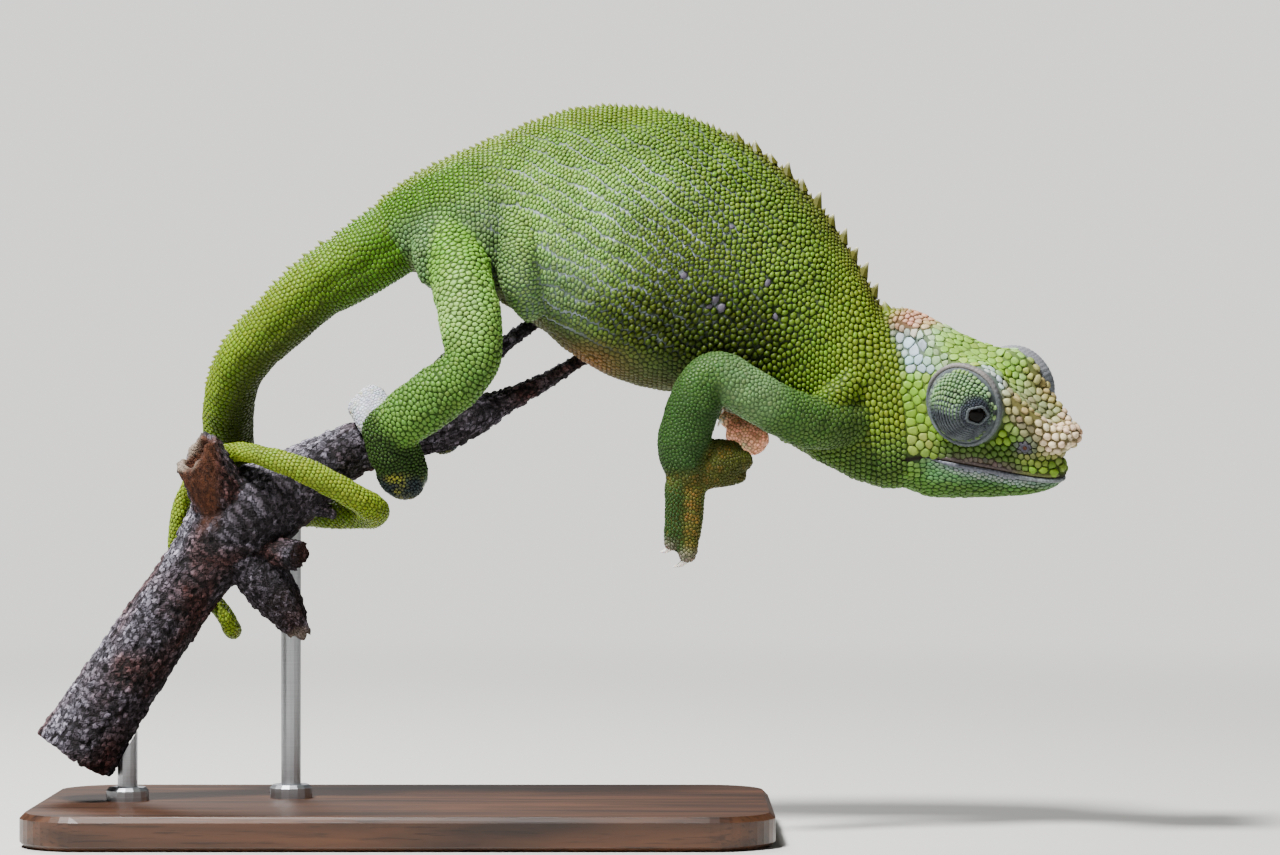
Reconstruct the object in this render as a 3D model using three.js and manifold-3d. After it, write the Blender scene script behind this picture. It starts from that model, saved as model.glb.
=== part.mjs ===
// A life-size two-horned chameleon, a female, gripping a short length of dead branch that
// two rods hold over a flat base. Millimetres. +X is the way the animal faces, +Y is its
// left and +Z is up. The origin is the middle of the base's underside.

import * as THREE from 'three';
import { LoftGeometry } from 'three/addons/geometries/LoftGeometry.js';
import { mergeVertices } from 'three/addons/utils/BufferGeometryUtils.js';
import Module from 'manifold-3d';

const wasm = await Module();
wasm.setup();

// Driving dimensions

const seam = 0.3; // clear gap between neighbouring pieces
const fineness = 0.08; // flat spots and slivers smaller than this are merged away
const base = { length: 110, width: 56, height: 5, corner: 9, bevel: 0.8 };
const rod = { radius: 1.5, collarRadius: 3.2, collarHeight: 2 };
const rodPlaces = [ [ - 41.6, 0, 24 ], [ - 17.5, 4.8, 50 ] ]; // x, y and a height inside the wood
const trunkSides = 18;
const legSides = 8;
const toeSides = 6;
const toeDome = [ 0.7 ]; // a toe's end is closed by one smaller ring
const keel = { round: 6, tall: 16, shoulder: 0.12, pinch: [ 0.18, 0.22 ] }; // half heights, then shape
const crestRibs = [ 9, 14 ]; // the crest starts and ends at these ribs
const crestSpines = 12;
const crestLean = 0.9; // back along the body for each 1 out of it
const spine = { height: [ 0.8, 1.6 ], root: 0.65, tip: 0.25, sunk: 0.8 }; // height from back to nape
const turret = {
	right: [ - 0.8, - 6.4, - 0.2 ],
	left: [ 0.8, 6.9, - 0.2 ], // swivelled, so it stands a little further forward
	radius: 5.5,
	bulge: 4.7
};
const lidRim = { radius: 6.4, bulge: 2.6, inset: 0.5 }; // the fold of skin round a turret's foot
const lidTip = { radius: 2.7, reach: 3.7 }; // the cone that carries the eye's opening
const eyeRadius = 1.3;
const eyeReach = 5.4; // from the turret's centre to the eyeball's
const gaze = { right: 46, left: 4, up: - 3 }; // degrees forward of straight out, and degrees up
const headPlace = [ 87, - 8, 65.8 ]; // the point midway between the turrets
const headTurn = { yaw: - 33, pitch: 6, roll: 13 }; // degrees

// Finishes

function finish( color, roughness, metalness = 0 ) {

	return new THREE.MeshStandardMaterial( { color, roughness, metalness } );

}

const skin = finish( 0x86a83c, 0.6 );
const limbSkin = finish( 0x7fae58, 0.6 );
const tailSkin = finish( 0xa3b52f, 0.6 );
const headSkin = finish( 0x94a94a, 0.55 );
const palmSkin = finish( 0xa99b52, 0.6 );
const eyeball = finish( 0x15120e, 0.12 );
const horn = finish( 0xe9e4dc, 0.4 );
const bark = finish( 0x6d5d58, 0.9 );
const walnut = finish( 0x3b2a20, 0.45 );
const steel = finish( 0xb9bcc0, 0.3, 1 );

// From closed geometries to solids and back

function toSolid( geometry ) {

	const bare = new THREE.BufferGeometry().copy( geometry );
	bare.deleteAttribute( 'normal' );
	bare.deleteAttribute( 'uv' );
	const merged = mergeVertices( bare, 1e-4 );
	const place = merged.getAttribute( 'position' );
	const corners = merged.index.array;
	const triangles = [];
	for ( let i = 0; i < corners.length; i += 3 ) {

		const [ a, b, c ] = [ corners[ i ], corners[ i + 1 ], corners[ i + 2 ] ];
		if ( a !== b && b !== c && c !== a ) triangles.push( a, b, c );

	}

	const solid = new wasm.Manifold( new wasm.Mesh( {
		numProp: 3,
		vertProperties: Float32Array.from( place.array ),
		triVerts: Uint32Array.from( triangles )
	} ) );
	return solid;

}

function toGeometry( solid ) {

	const mesh = solid.getMesh();
	const geometry = new THREE.BufferGeometry();
	geometry.setAttribute( 'position', new THREE.BufferAttribute( mesh.vertProperties, 3 ) );
	geometry.setIndex( new THREE.BufferAttribute( mesh.triVerts, 1 ) );
	geometry.computeVertexNormals();
	return geometry;

}

// A cut can leave slivers behind, so only the largest body is kept.

function largest( solid ) {

	const bodies = solid.decompose();
	return bodies.reduce( ( a, b ) => ( b.volume() > a.volume() ? b : a ) );

}

function joined( solids ) {

	return solids.reduce( ( a, b ) => a.add( b ) );

}

// A smooth reading of a list of numbers, at t from 0 to 1

function smoothRow( rows ) {

	const columns = rows[ 0 ].map( ( _, j ) => new THREE.SplineCurve(
		rows.map( ( row, i ) => new THREE.Vector2( i, row[ j ] ) ) ) );
	return ( t ) => columns.map( ( column ) => column.getPoint( t ).y );

}

// Every ring is carried on past the end to a blunt pole, or closed off flat.

const domeSteps = [ 0.55, 0.9 ];

// A round length of tail, leg, toe or twig. Each station is [ x, y, z, radius ], and flat
// thins the section across the animal. from and to are shares of the length.

function limb( stations, options = {} ) {

	const { sides = legSides, rings = 4, flat = 1, grow = 0, from = 0, to = 1 } = options;
	const { roundStart = true, roundEnd = true, dome = domeSteps } = options;
	const curve = new THREE.CatmullRomCurve3( stations.map( ( s ) => new THREE.Vector3( ...s.slice( 0, 3 ) ) ) );
	const radius = smoothRow( stations.map( ( s ) => [ s[ 3 ] ] ) );
	const fine = 240;
	const frames = curve.computeFrenetFrames( fine, false );
	const sections = [];

	function ring( u, scale, past ) {

		const k = Math.round( u * fine );
		const r = radius( curve.getUtoTmapping( u ) )[ 0 ] + grow;
		const centre = curve.getPointAt( u ).addScaledVector( frames.tangents[ k ], past * r );
		const points = [];
		for ( let j = 0; j < sides; j ++ ) {

			const angle = j / sides * 2 * Math.PI;
			const out = new THREE.Vector3()
				.addScaledVector( frames.normals[ k ], Math.cos( angle ) )
				.addScaledVector( frames.binormals[ k ], Math.sin( angle ) );
			out.y *= flat;
			points.push( centre.clone().addScaledVector( out, r * scale ) );

		}

		sections.push( points );

	}

	if ( roundStart ) [ ...dome ].reverse().forEach( ( s ) => ring( from, Math.sqrt( 1 - s * s ), - s ) );
	for ( let i = 0; i <= rings; i ++ ) ring( from + ( to - from ) * i / rings, 1, 0 );
	if ( roundEnd ) dome.forEach( ( s ) => ring( to, Math.sqrt( 1 - s * s ), s ) );
	return toSolid( new LoftGeometry( sections, { capStart: true, capEnd: true } ) );

}

// The trunk is a row of ribs from the tail's root to the neck. Each rib is
// [ back x, back z, belly x, belly z, y, half width ].

const ribs = [
	[ - 4.15, 94.9, 1.85, 84.1, 0, 5.4 ],
	[ 0.85, 98.5, 5.25, 82.3, 0, 6.6 ],
	[ 7.25, 101.8, 9.25, 81.2, 0, 7.6 ],
	[ 13.85, 104.6, 14.25, 79.6, 0, 8.8 ],
	[ 20.25, 107.3, 19.55, 76.3, 0, 9.8 ],
	[ 25.25, 108.7, 24.55, 72.2, 0, 10.3 ],
	[ 30.95, 109.3, 30.05, 68.8, 0, 10.4 ],
	[ 37.55, 108.8, 36.05, 66.8, 0, 10.1 ],
	[ 44.25, 106.9, 42.05, 65.6, 0, 9.4 ],
	[ 51.15, 103.6, 47.55, 63.5, 0, 8.6 ],
	[ 56.15, 100.1, 53.55, 61.0, 0, 8.0 ],
	[ 60.95, 95.6, 58.85, 57.7, 0, 7.5 ],
	[ 65.15, 89.9, 63.85, 54.8, - 0.2, 7.1 ],
	[ 68.25, 84.7, 69.25, 52.4, - 0.6, 6.8 ],
	[ 71.65, 78.6, 74.05, 51.6, - 1.6, 6.4 ],
	[ 78.75, 74.0, 81.75, 54.0, - 4.0, 5.4 ]
];

const ribRow = smoothRow( ribs );
const neckStart = 12.4; // in ribs
const lastRib = ribs.length - 1;

function ribLoft( from, to, rings, grow = 0 ) {

	const sections = [];
	for ( let i = 0; i <= rings; i ++ ) {

		const row = ribRow( ( from + ( to - from ) * i / rings ) / lastRib );
		const [ backX, backZ, bellyX, bellyZ, y, halfWidth ] = row;
		const up = new THREE.Vector3( backX - bellyX, 0, backZ - bellyZ ).multiplyScalar( 0.5 );
		const tall = THREE.MathUtils.smoothstep( up.length(), keel.round, keel.tall );
		const centre = new THREE.Vector3( bellyX, y, bellyZ ).add( up );
		up.setLength( up.length() + grow );
		const points = [];
		for ( let j = 0; j < trunkSides; j ++ ) {

			const angle = j / trunkSides * 2 * Math.PI;
			const [ c, s ] = [ Math.cos( angle ), Math.sin( angle ) ];
			const pinch = 1 + tall * ( keel.pinch[ 0 ] + keel.pinch[ 1 ] * c );
			const side = ( halfWidth + grow ) * Math.sign( s ) * Math.abs( s ) ** pinch;
			points.push( centre.clone().addScaledVector( up, c - keel.shoulder * tall * s * s )
				.add( new THREE.Vector3( 0, side, 0 ) ) );

		}

		sections.push( points.reverse() );

	}

	return toSolid( new LoftGeometry( sections, { capStart: true, capEnd: true } ) );

}

// The crest of low cones along the shoulders and nape leans back a little.

function crest( from, to ) {

	const solids = [];
	for ( let i = 0; i < crestSpines; i ++ ) {

		const share = i / ( crestSpines - 1 );
		const rib = THREE.MathUtils.lerp( ...crestRibs, share );
		if ( rib < from || rib > to ) continue;
		const [ x, z, bellyX, bellyZ, y ] = ribRow( rib / lastRib );
		const up = new THREE.Vector3( x - bellyX, 0, z - bellyZ ).normalize();
		const [ nextX, nextZ ] = ribRow( ( rib + 0.1 ) / lastRib );
		const along = new THREE.Vector3( nextX - x, 0, nextZ - z ).normalize();
		const out = new THREE.Vector3( - along.z, 0, along.x );
		const lean = out.addScaledVector( along, - crestLean ).normalize();
		const root = new THREE.Vector3( x, y, z ).addScaledVector( up, - spine.sunk );
		const tall = THREE.MathUtils.lerp( ...spine.height, share );
		const tip = new THREE.Vector3( x, y, z ).addScaledVector( lean, tall );
		const ends = [ [ ...root, spine.root ], [ ...tip, spine.tip ] ];
		solids.push( limb( ends, { sides: 5, rings: 1, roundStart: false, roundEnd: false } ) );

	}

	return solids;

}

// The tail, from its root over the hip, down behind the branch, round in front of it, over
// the top and once more round the back, to a tip that curls up beside the wood.

const tailPath = [
	[ - 1, 0, 89.6, 5.7 ],
	[ - 7.3, 0, 85.3, 5.45 ],
	[ - 13.1, 0, 81.9, 5.0 ],
	[ - 18.5, 0, 77.0, 4.6 ],
	[ - 23.1, 1, 72.6, 4.25 ],
	[ - 26.0, 3.5, 68.0, 4.0 ],
	[ - 27.3, 8, 62.5, 4.0 ],
	[ - 27.3, 12, 57.6, 3.8 ],
	[ - 25.7, 13.2, 53.4, 3.5 ],
	[ - 21.2, 12.2, 50.2, 3.2 ],
	[ - 15.6, 9.5, 48.6, 2.9 ],
	[ - 9.6, 5, 48.0, 2.55 ],
	[ - 5.5, 0.6, 47.9, 2.4 ],
	[ - 4.3, - 3.6, 48.6, 2.3 ],
	[ - 6.4, - 6.7, 50.2, 2.2 ],
	[ - 10.8, - 8.4, 52.8, 2.1 ],
	[ - 15.4, - 9.3, 55.0, 2.0 ],
	[ - 21.0, - 8.2, 56.8, 1.7 ],
	[ - 25.3, - 3.6, 57.3, 1.6 ],
	[ - 29.6, 1.6, 56.0, 1.55 ],
	[ - 33.1, 4.8, 51.4, 1.5 ],
	[ - 34.7, 5.8, 46.6, 1.5 ],
	[ - 34.9, 7.2, 41.6, 1.5 ],
	[ - 32.8, 8.6, 37.6, 1.5 ],
	[ - 29.4, 8.4, 34.4, 1.5 ],
	[ - 27.0, 5.6, 31.4, 1.5 ],
	[ - 26.0, 1.4, 30.4, 1.5 ],
	[ - 26.6, - 2.0, 32.2, 1.3 ],
	[ - 27.6, - 3.6, 34.8, 0.6 ]
];

const tailCuts = [ 0, 0.13, 0.28, 0.46, 0.64, 0.82, 1 ];

// The branch runs up from its sawn end through a knot and thins to a twig behind the belly.

const shaftPath = [
	[ - 49.5, 0, 11.8, 6.4 ],
	[ - 41.1, 0, 25.0, 5.65 ],
	[ - 31.8, 0, 38.6, 5.4 ],
	[ - 24.8, 0, 46.7, 7.2 ],
	[ - 17.2, 0, 51.8, 5.7 ],
	[ - 9, 0, 57.0, 4.1 ],
	[ - 1.5, 0, 59.6, 4.0 ],
	[ 6, 0, 61.6, 4.0 ],
	[ 10.5, 0.4, 62.9, 3.0 ],
	[ 14.7, 1.2, 64.7, 1.9 ],
	[ 20.9, 4.2, 67.9, 1.4 ],
	[ 27.85, 9.5, 72.2, 1.1 ]
];

const woodPieces = [
	// the upper twig of the fork
	{ path: [ [ 5.2, 1, 62.8, 2.4 ], [ 9.6, 3, 68.4, 1.5 ], [ 14.8, 5, 73.4, 1.2 ],
		[ 18.8, 9, 76.6, 1.1 ], [ 23.2, 14, 79.6, 1.0 ] ], sides: 8, rings: 6 },
	// the broken stub that stands up from the knot
	{ path: [ [ - 26.0, - 0.5, 47.4, 4.4 ], [ - 28.6, - 4.0, 53.4, 3.8 ], [ - 30.9, - 6.0, 58.6, 3.9 ] ],
		sides: 10, rings: 4, roundEnd: false },
	// a short round stub, a torn peg and a splinter below the knot
	{ path: [ [ - 23.2, - 1, 43.6, 2.8 ], [ - 14.8, - 5, 41.5, 2.5 ] ], sides: 8, rings: 2 },
	{ path: [ [ - 23.4, - 1, 41.5, 4.2 ], [ - 19, - 1.5, 35.4, 3.6 ], [ - 15.6, - 2, 30.0, 1.6 ] ],
		sides: 8, rings: 3 },
	{ path: [ [ - 15.8, - 1, 50.3, 2.6 ], [ - 10.6, - 2, 47.8, 0.6 ] ], sides: 6, rings: 2 }
];

const stubHollow = [ [ - 29.6, - 5.0, 55.6, 1.4 ], [ - 31.6, - 7.4, 60.0, 3.2 ] ];

function wood( grow = 0 ) {

	const shaft = limb( shaftPath, { sides: 10, rings: 16, grow, roundStart: false } );
	return joined( [ shaft, ...woodPieces.map( ( w ) => limb( w.path, { ...w, grow } ) ) ] );

}

// The legs, right and left as the animal has them. Each has an upper and a lower limb, a
// sole, and toes in two bundles: [ path, claw tip ]. A claw grows out of its toe's end.

const legs = {
	hind_right: {
		upper: [ [ 6.6, - 3, 90, 5.2 ], [ 8.8, - 8.6, 82.6, 4.7 ], [ 10.3, - 11, 76.4, 4.7 ],
			[ 10.7, - 11.6, 70.8, 4.2 ] ],
		lower: [ [ 10.2, - 11.6, 70.2, 4.0 ], [ 7.0, - 11.4, 67.2, 4.3 ], [ 2.4, - 10.4, 63.6, 4.4 ],
			[ - 1.6, - 9.2, 60.8, 3.9 ] ],
		sole: [ [ - 2.2, - 8.9, 60.4, 3.8 ], [ - 1.8, - 8.2, 57.0, 3.3 ] ],
		toes: [
			[ [ [ - 2.4, - 8.0, 57.2, 1.9 ], [ - 2.3, - 7.4, 53.8, 1.5 ], [ - 1.8, - 5.8, 52.2, 1.2 ] ],
				[ - 1.4, - 3.4, 51.4 ] ],
			[ [ [ - 0.8, - 8.4, 56.8, 1.9 ], [ 0.0, - 7.6, 53.2, 1.5 ], [ 0.3, - 5.8, 51.8, 1.2 ] ],
				[ 0.7, - 3.4, 51.2 ] ],
			[ [ [ 1.0, - 7.8, 57.6, 1.9 ], [ 2.4, - 7.0, 54.8, 1.5 ], [ 2.7, - 5.6, 53.4, 1.2 ] ],
				[ 3.1, - 3.2, 53.0 ] ],
			[ [ [ - 2.6, - 6.6, 62.4, 2.4 ], [ - 4.6, - 2.8, 65.4, 1.9 ], [ - 4.4, 1.8, 65.0, 1.7 ],
				[ - 3.6, 4.9, 62.0, 1.3 ] ], [ - 3.0, 6.0, 59.6 ] ],
			[ [ [ - 4.0, - 6.6, 60.8, 2.3 ], [ - 6.5, - 3.6, 63.6, 1.8 ], [ - 6.7, 1.2, 63.4, 1.6 ],
				[ - 6.0, 4.7, 60.8, 1.3 ] ], [ - 5.4, 5.8, 58.4 ] ]
		]
	},
	hind_left: {
		upper: [ [ 6.6, 3, 90, 5.2 ], [ 8.2, 8.6, 83.0, 4.6 ], [ 9.2, 11.4, 77.2, 4.4 ],
			[ 9.6, 12.2, 72.2, 4.0 ] ],
		lower: [ [ 9.2, 12.2, 71.6, 3.8 ], [ 7.2, 11.6, 69.2, 3.9 ], [ 4.8, 9.6, 66.4, 3.7 ] ],
		sole: [ [ 4.4, 9.0, 66.0, 3.5 ], [ 4.8, 8.2, 63.4, 3.0 ] ],
		toes: [
			[ [ [ 3.4, 8.0, 63.4, 1.8 ], [ 3.0, 7.4, 60.4, 1.5 ], [ 3.2, 5.6, 58.6, 1.2 ] ], [ 3.6, 3.2, 57.6 ] ],
			[ [ [ 5.0, 8.3, 63.2, 1.8 ], [ 5.2, 7.5, 60.4, 1.5 ], [ 5.4, 5.7, 58.8, 1.2 ] ], [ 5.6, 3.2, 58.0 ] ],
			[ [ [ 6.4, 7.9, 63.8, 1.7 ], [ 7.4, 7.0, 61.4, 1.4 ], [ 7.6, 5.3, 59.8, 1.1 ] ], [ 7.8, 3.0, 59.0 ] ],
			[ [ [ 3.6, 7.0, 66.4, 2.3 ], [ 2.4, 3.2, 67.6, 1.8 ], [ 1.6, - 1.4, 66.6, 1.6 ],
				[ 0.9, - 4.0, 64.6, 1.2 ] ], [ 0.2, - 5.3, 62.8 ] ],
			[ [ [ 5.2, 6.8, 66.8, 2.2 ], [ 5.6, 3.0, 68.4, 1.7 ], [ 5.2, - 1.2, 67.8, 1.5 ],
				[ 4.4, - 3.8, 65.8, 1.2 ] ], [ 3.6, - 4.9, 63.8 ] ]
		]
	},
	front_right: {
		upper: [ [ 67.8, - 3.6, 62.5, 4.2 ], [ 60.6, - 8.2, 61.6, 4.0 ], [ 53.0, - 10.8, 65.0, 3.9 ],
			[ 47.3, - 11.8, 68.6, 3.9 ], [ 45.5, - 12.0, 69.0, 3.7 ] ],
		lower: [ [ 45.1, - 12.0, 68.4, 3.7 ], [ 43.0, - 12.2, 63.6, 4.1 ], [ 41.6, - 12.0, 58.6, 4.0 ],
			[ 42.1, - 11.6, 54.6, 3.5 ] ],
		sole: [ [ 42.1, - 11.6, 54.0, 3.2 ], [ 43.4, - 11.3, 54.4, 3.0 ] ],
		toes: [
			[ [ [ 40.9, - 11.8, 52.6, 2.1 ], [ 40.6, - 11.4, 47.4, 1.8 ], [ 39.9, - 10.8, 43.9, 1.3 ] ],
				[ 37.9, - 9.9, 42.2 ] ],
			[ [ [ 42.9, - 11.6, 52.4, 2.2 ], [ 42.7, - 11.2, 46.8, 1.8 ], [ 42.2, - 10.8, 42.2, 1.4 ] ],
				[ 39.7, - 10.0, 39.9 ] ],
			[ [ [ 44.0, - 11.6, 57.0, 2.0 ], [ 47.0, - 11.0, 57.6, 1.7 ], [ 49.0, - 9.6, 57.9, 1.3 ] ],
				[ 50.0, - 7.2, 57.2 ] ],
			[ [ [ 44.0, - 11.8, 55.4, 2.0 ], [ 47.6, - 11.2, 55.7, 1.9 ], [ 50.6, - 9.8, 56.0, 1.5 ] ],
				[ 51.7, - 7.4, 55.2 ] ],
			[ [ [ 43.8, - 11.6, 53.6, 2.0 ], [ 46.8, - 11.0, 53.7, 1.8 ], [ 49.8, - 9.6, 53.9, 1.4 ] ],
				[ 50.8, - 7.2, 53.1 ] ]
		]
	},
	front_left: {
		upper: [ [ 67.8, 3.6, 62.5, 4.2 ], [ 60.6, 8.2, 63.0, 4.0 ], [ 53.0, 11.0, 67.0, 3.9 ],
			[ 46.8, 12.2, 71.0, 3.8 ], [ 45.0, 12.4, 71.6, 3.6 ] ],
		lower: [ [ 44.8, 12.4, 71.2, 3.6 ], [ 46.8, 12.4, 67.4, 3.8 ], [ 50.2, 11.6, 63.8, 3.3 ],
			[ 52.2, 10.4, 61.8, 2.8 ] ],
		sole: [ [ 52.4, 10.0, 61.4, 2.6 ], [ 52.0, 8.6, 60.6, 2.3 ] ],
		toes: [
			[ [ [ 51.0, 8.8, 61.4, 1.6 ], [ 49.4, 8.2, 61.8, 1.3 ], [ 48.2, 7.6, 62.0, 1.0 ] ], [ 46.8, 6.8, 60.9 ] ],
			[ [ [ 51.4, 9.8, 62.0, 1.5 ], [ 49.6, 9.8, 62.4, 1.2 ], [ 48.4, 9.4, 62.6, 0.9 ] ], [ 47.9, 8.8, 64.2 ] ],
			[ [ [ 51.6, 7.4, 60.8, 1.7 ], [ 49.6, 6.8, 60.2, 1.5 ], [ 49.6, 7.6, 59.0, 1.2 ] ], [ 49.8, 9.6, 58.2 ] ],
			[ [ [ 52.4, 6.8, 60.4, 1.7 ], [ 53.2, 5.8, 59.4, 1.5 ], [ 51.8, 5.6, 58.4, 1.1 ] ], [ 49.8, 6.4, 58.4 ] ],
			[ [ [ 53.2, 8.2, 60.2, 1.6 ], [ 53.6, 7.8, 59.0, 1.4 ], [ 52.6, 8.0, 57.9, 1.1 ] ], [ 51.0, 8.8, 57.2 ] ]
		]
	}
};

const legFlat = 0.86;

function foot( leg, grow = 0 ) {

	const sole = limb( leg.sole, { rings: 1, flat: legFlat, grow, dome: toeDome } );
	const form = { sides: toeSides, rings: 2, dome: toeDome, grow };
	const toes = leg.toes.map( ( [ path ] ) => limb( path, form ) );
	return joined( [ sole, ...toes ] );

}

function claw( [ path, tip ] ) {

	const [ x, y, z, r ] = path[ path.length - 1 ];
	return limb( [ [ x, y, z, 0.5 * r + 0.1 ], [ ...tip, 0.28 ] ], { sides: 5, rings: 1, roundEnd: false } );

}

// The head has its own frame: x to the snout, y to its left and z to its crown. Each
// section is [ x, crown z, ridge y, ridge z, cheek y, cheek z, lip y, lip z, jaw z ].

const headSections = [
	[ - 17.6, 11.0, 0.7, 10.7, 1.1, 9.9, 0.9, 9.0, 8.7 ],
	[ - 16.0, 11.6, 1.7, 10.9, 3.2, 7.0, 3.0, 1.0, - 2.0 ],
	[ - 14.0, 11.5, 2.3, 10.2, 5.2, 2.0, 5.4, - 8.0, - 14.0 ],
	[ - 10.5, 10.6, 2.9, 9.2, 6.3, 1.0, 6.5, - 9.2, - 16.1 ],
	[ - 7.0, 8.9, 3.8, 7.7, 6.6, 0, 6.5, - 9.0, - 16.4 ],
	[ - 3.5, 6.7, 4.8, 6.4, 6.3, - 1, 6.0, - 9.2, - 16.0 ],
	[ 0, 4.9, 5.3, 5.7, 6.0, - 1.5, 5.5, - 9.6, - 15.6 ],
	[ 3, 3.0, 5.1, 4.4, 5.5, - 2.4, 4.9, - 10.0, - 15.1 ],
	[ 6, 0.6, 4.6, 1.2, 5.0, - 4.0, 4.3, - 10.4, - 14.6 ],
	[ 8.8, - 1.8, 3.9, - 1.5, 4.3, - 5.2, 3.4, - 10.8, - 13.9 ],
	[ 10.8, - 3.3, 3.2, - 3.0, 3.3, - 6.2, 2.4, - 10.9, - 12.9 ],
	[ 11.9, - 4.4, 2.1, - 4.4, 1.9, - 7.0, 1.3, - 10.7, - 11.8 ]
];

// The knobs are x, y, z, radius, one of each on either side; the mouth's line is x, z
const rostralKnobs = [ [ 12.2, 1.6, - 5.2, 2.1 ], [ 10.2, 2.6, - 3.6, 1.7 ] ];
const mouthLine = [ [ - 13.6, - 9.7 ], [ - 7.5, - 8.9 ], [ 3.9, - 10.1 ], [ 11, - 11.1 ], [ 18, - 11.4 ] ];
const jawBack = - 13.4; // the jaw ends here, under the mouth's corner

function skull( grow = 0 ) {

	const rows = headSections.map( ( [ x, crown, ridgeY, ridgeZ, cheekY, cheekZ, lipY, lipZ, jaw ] ) => {

		const jawY = THREE.MathUtils.lerp( lipY, 0, 0.22 );
		const jawZ = THREE.MathUtils.lerp( jaw, lipZ, 0.22 );
		const half = [ [ ridgeY, ridgeZ ], [ cheekY, cheekZ ], [ lipY, lipZ ], [ jawY, jawZ ] ];
		const other = [ ...half ].reverse().map( ( [ y, z ] ) => [ - y, z ] );
		return [ [ 0, crown ], ...half, [ 0, jaw ], ...other ].map( ( [ y, z ] ) => new THREE.Vector3( x, y, z ) );

	} );
	const strings = rows[ 0 ].map( ( _, j ) => new THREE.CatmullRomCurve3( rows.map( ( row ) => row[ j ] ),
		false, 'catmullrom', 0.5 ) );
	const rings = 12;
	const around = 16;
	const sections = [];
	for ( let i = 0; i <= rings; i ++ ) {

		const hoop = new THREE.CatmullRomCurve3( strings.map( ( s ) => s.getPoint( i / rings ) ), true );
		const points = hoop.getPoints( around ).slice( 0, around );
		const centre = points.reduce( ( a, p ) => a.add( p ), new THREE.Vector3() ).divideScalar( points.length );
		points.forEach( ( p ) => {

			const out = p.clone().sub( centre ).normalize();
			p.addScaledVector( out, grow );

		} );
		sections.push( points.reverse() );

	}

	const knobs = rostralKnobs.flatMap( ( [ x, y, z, r ] ) => [ y, - y ].map( ( side ) =>
		toSolid( new THREE.SphereGeometry( r + grow, 8, 5 ).translate( x, side, z ) ) ) );
	return joined( [ toSolid( new LoftGeometry( sections, { capStart: true, capEnd: true } ) ), ...knobs ] );

}

// Everything below the mouth line, shifted down by drop, as a tool for parting the jaw

function belowMouth( drop, back ) {

	const reach = 30; // well past the jaw each way
	const line = mouthLine.map( ( [ x, z ] ) => new THREE.Vector2( Math.max( x, back ), z - drop ) );
	const front = line[ line.length - 1 ].x;
	const corners = [ new THREE.Vector2( back, - reach ), ...line, new THREE.Vector2( front, - reach ) ];
	const profile = new THREE.Shape( corners );
	const tool = new THREE.ExtrudeGeometry( profile, { depth: reach, bevelEnabled: false } );
	return toSolid( tool.rotateX( Math.PI / 2 ).translate( 0, reach / 2, 0 ) );

}

const scene = new THREE.Group();
const headGroup = new THREE.Group();
const radians = THREE.MathUtils.degToRad;
headGroup.position.set( ...headPlace );
headGroup.rotation.set( radians( headTurn.roll ), radians( headTurn.pitch ), radians( headTurn.yaw ), 'ZYX' );
headGroup.updateMatrix();
scene.add( headGroup );

function place( name, solid, material, parent = scene ) {

	const mesh = new THREE.Mesh( toGeometry( largest( solid ).simplify( fineness ) ), material );
	mesh.name = name;
	parent.add( mesh );

}

// Base and rods

function addStand( woodRoom ) {

	const half = { x: base.length / 2 - base.bevel, y: base.width / 2 - base.bevel };
	const r = base.corner;
	const plate = new THREE.Shape();
	plate.moveTo( half.x - r, - half.y );
	plate.absarc( half.x - r, - half.y + r, r, - Math.PI / 2, 0 );
	plate.absarc( half.x - r, half.y - r, r, 0, Math.PI / 2 );
	plate.absarc( - half.x + r, half.y - r, r, Math.PI / 2, Math.PI );
	plate.absarc( - half.x + r, - half.y + r, r, Math.PI, 1.5 * Math.PI );
	const solid = new THREE.ExtrudeGeometry( plate, {
		depth: base.height - 2 * base.bevel,
		bevelThickness: base.bevel,
		bevelSize: base.bevel,
		bevelSegments: 1,
		curveSegments: 5
	} ).translate( 0, 0, base.bevel );
	place( 'stand_base', toSolid( solid ), walnut );

	rodPlaces.forEach( ( [ x, y, top ], i ) => {

		const profile = [
			[ 0, base.height ],
			[ rod.collarRadius, base.height ],
			[ rod.collarRadius, base.height + rod.collarHeight - 0.5 ],
			[ rod.collarRadius - 0.5, base.height + rod.collarHeight ],
			[ rod.radius, base.height + rod.collarHeight ],
			[ rod.radius, top ],
			[ 0, top ]
		].map( ( [ px, pz ] ) => new THREE.Vector2( px, pz ) );
		const turned = new THREE.LatheGeometry( profile, 16 ).rotateX( Math.PI / 2 ).translate( x, y, 0 );
		place( `stand_rod_${ i + 1 }`, toSolid( turned ).subtract( woodRoom ), steel );

	} );

}

// Head, jaw, turrets and eyes, in the head's frame

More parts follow.
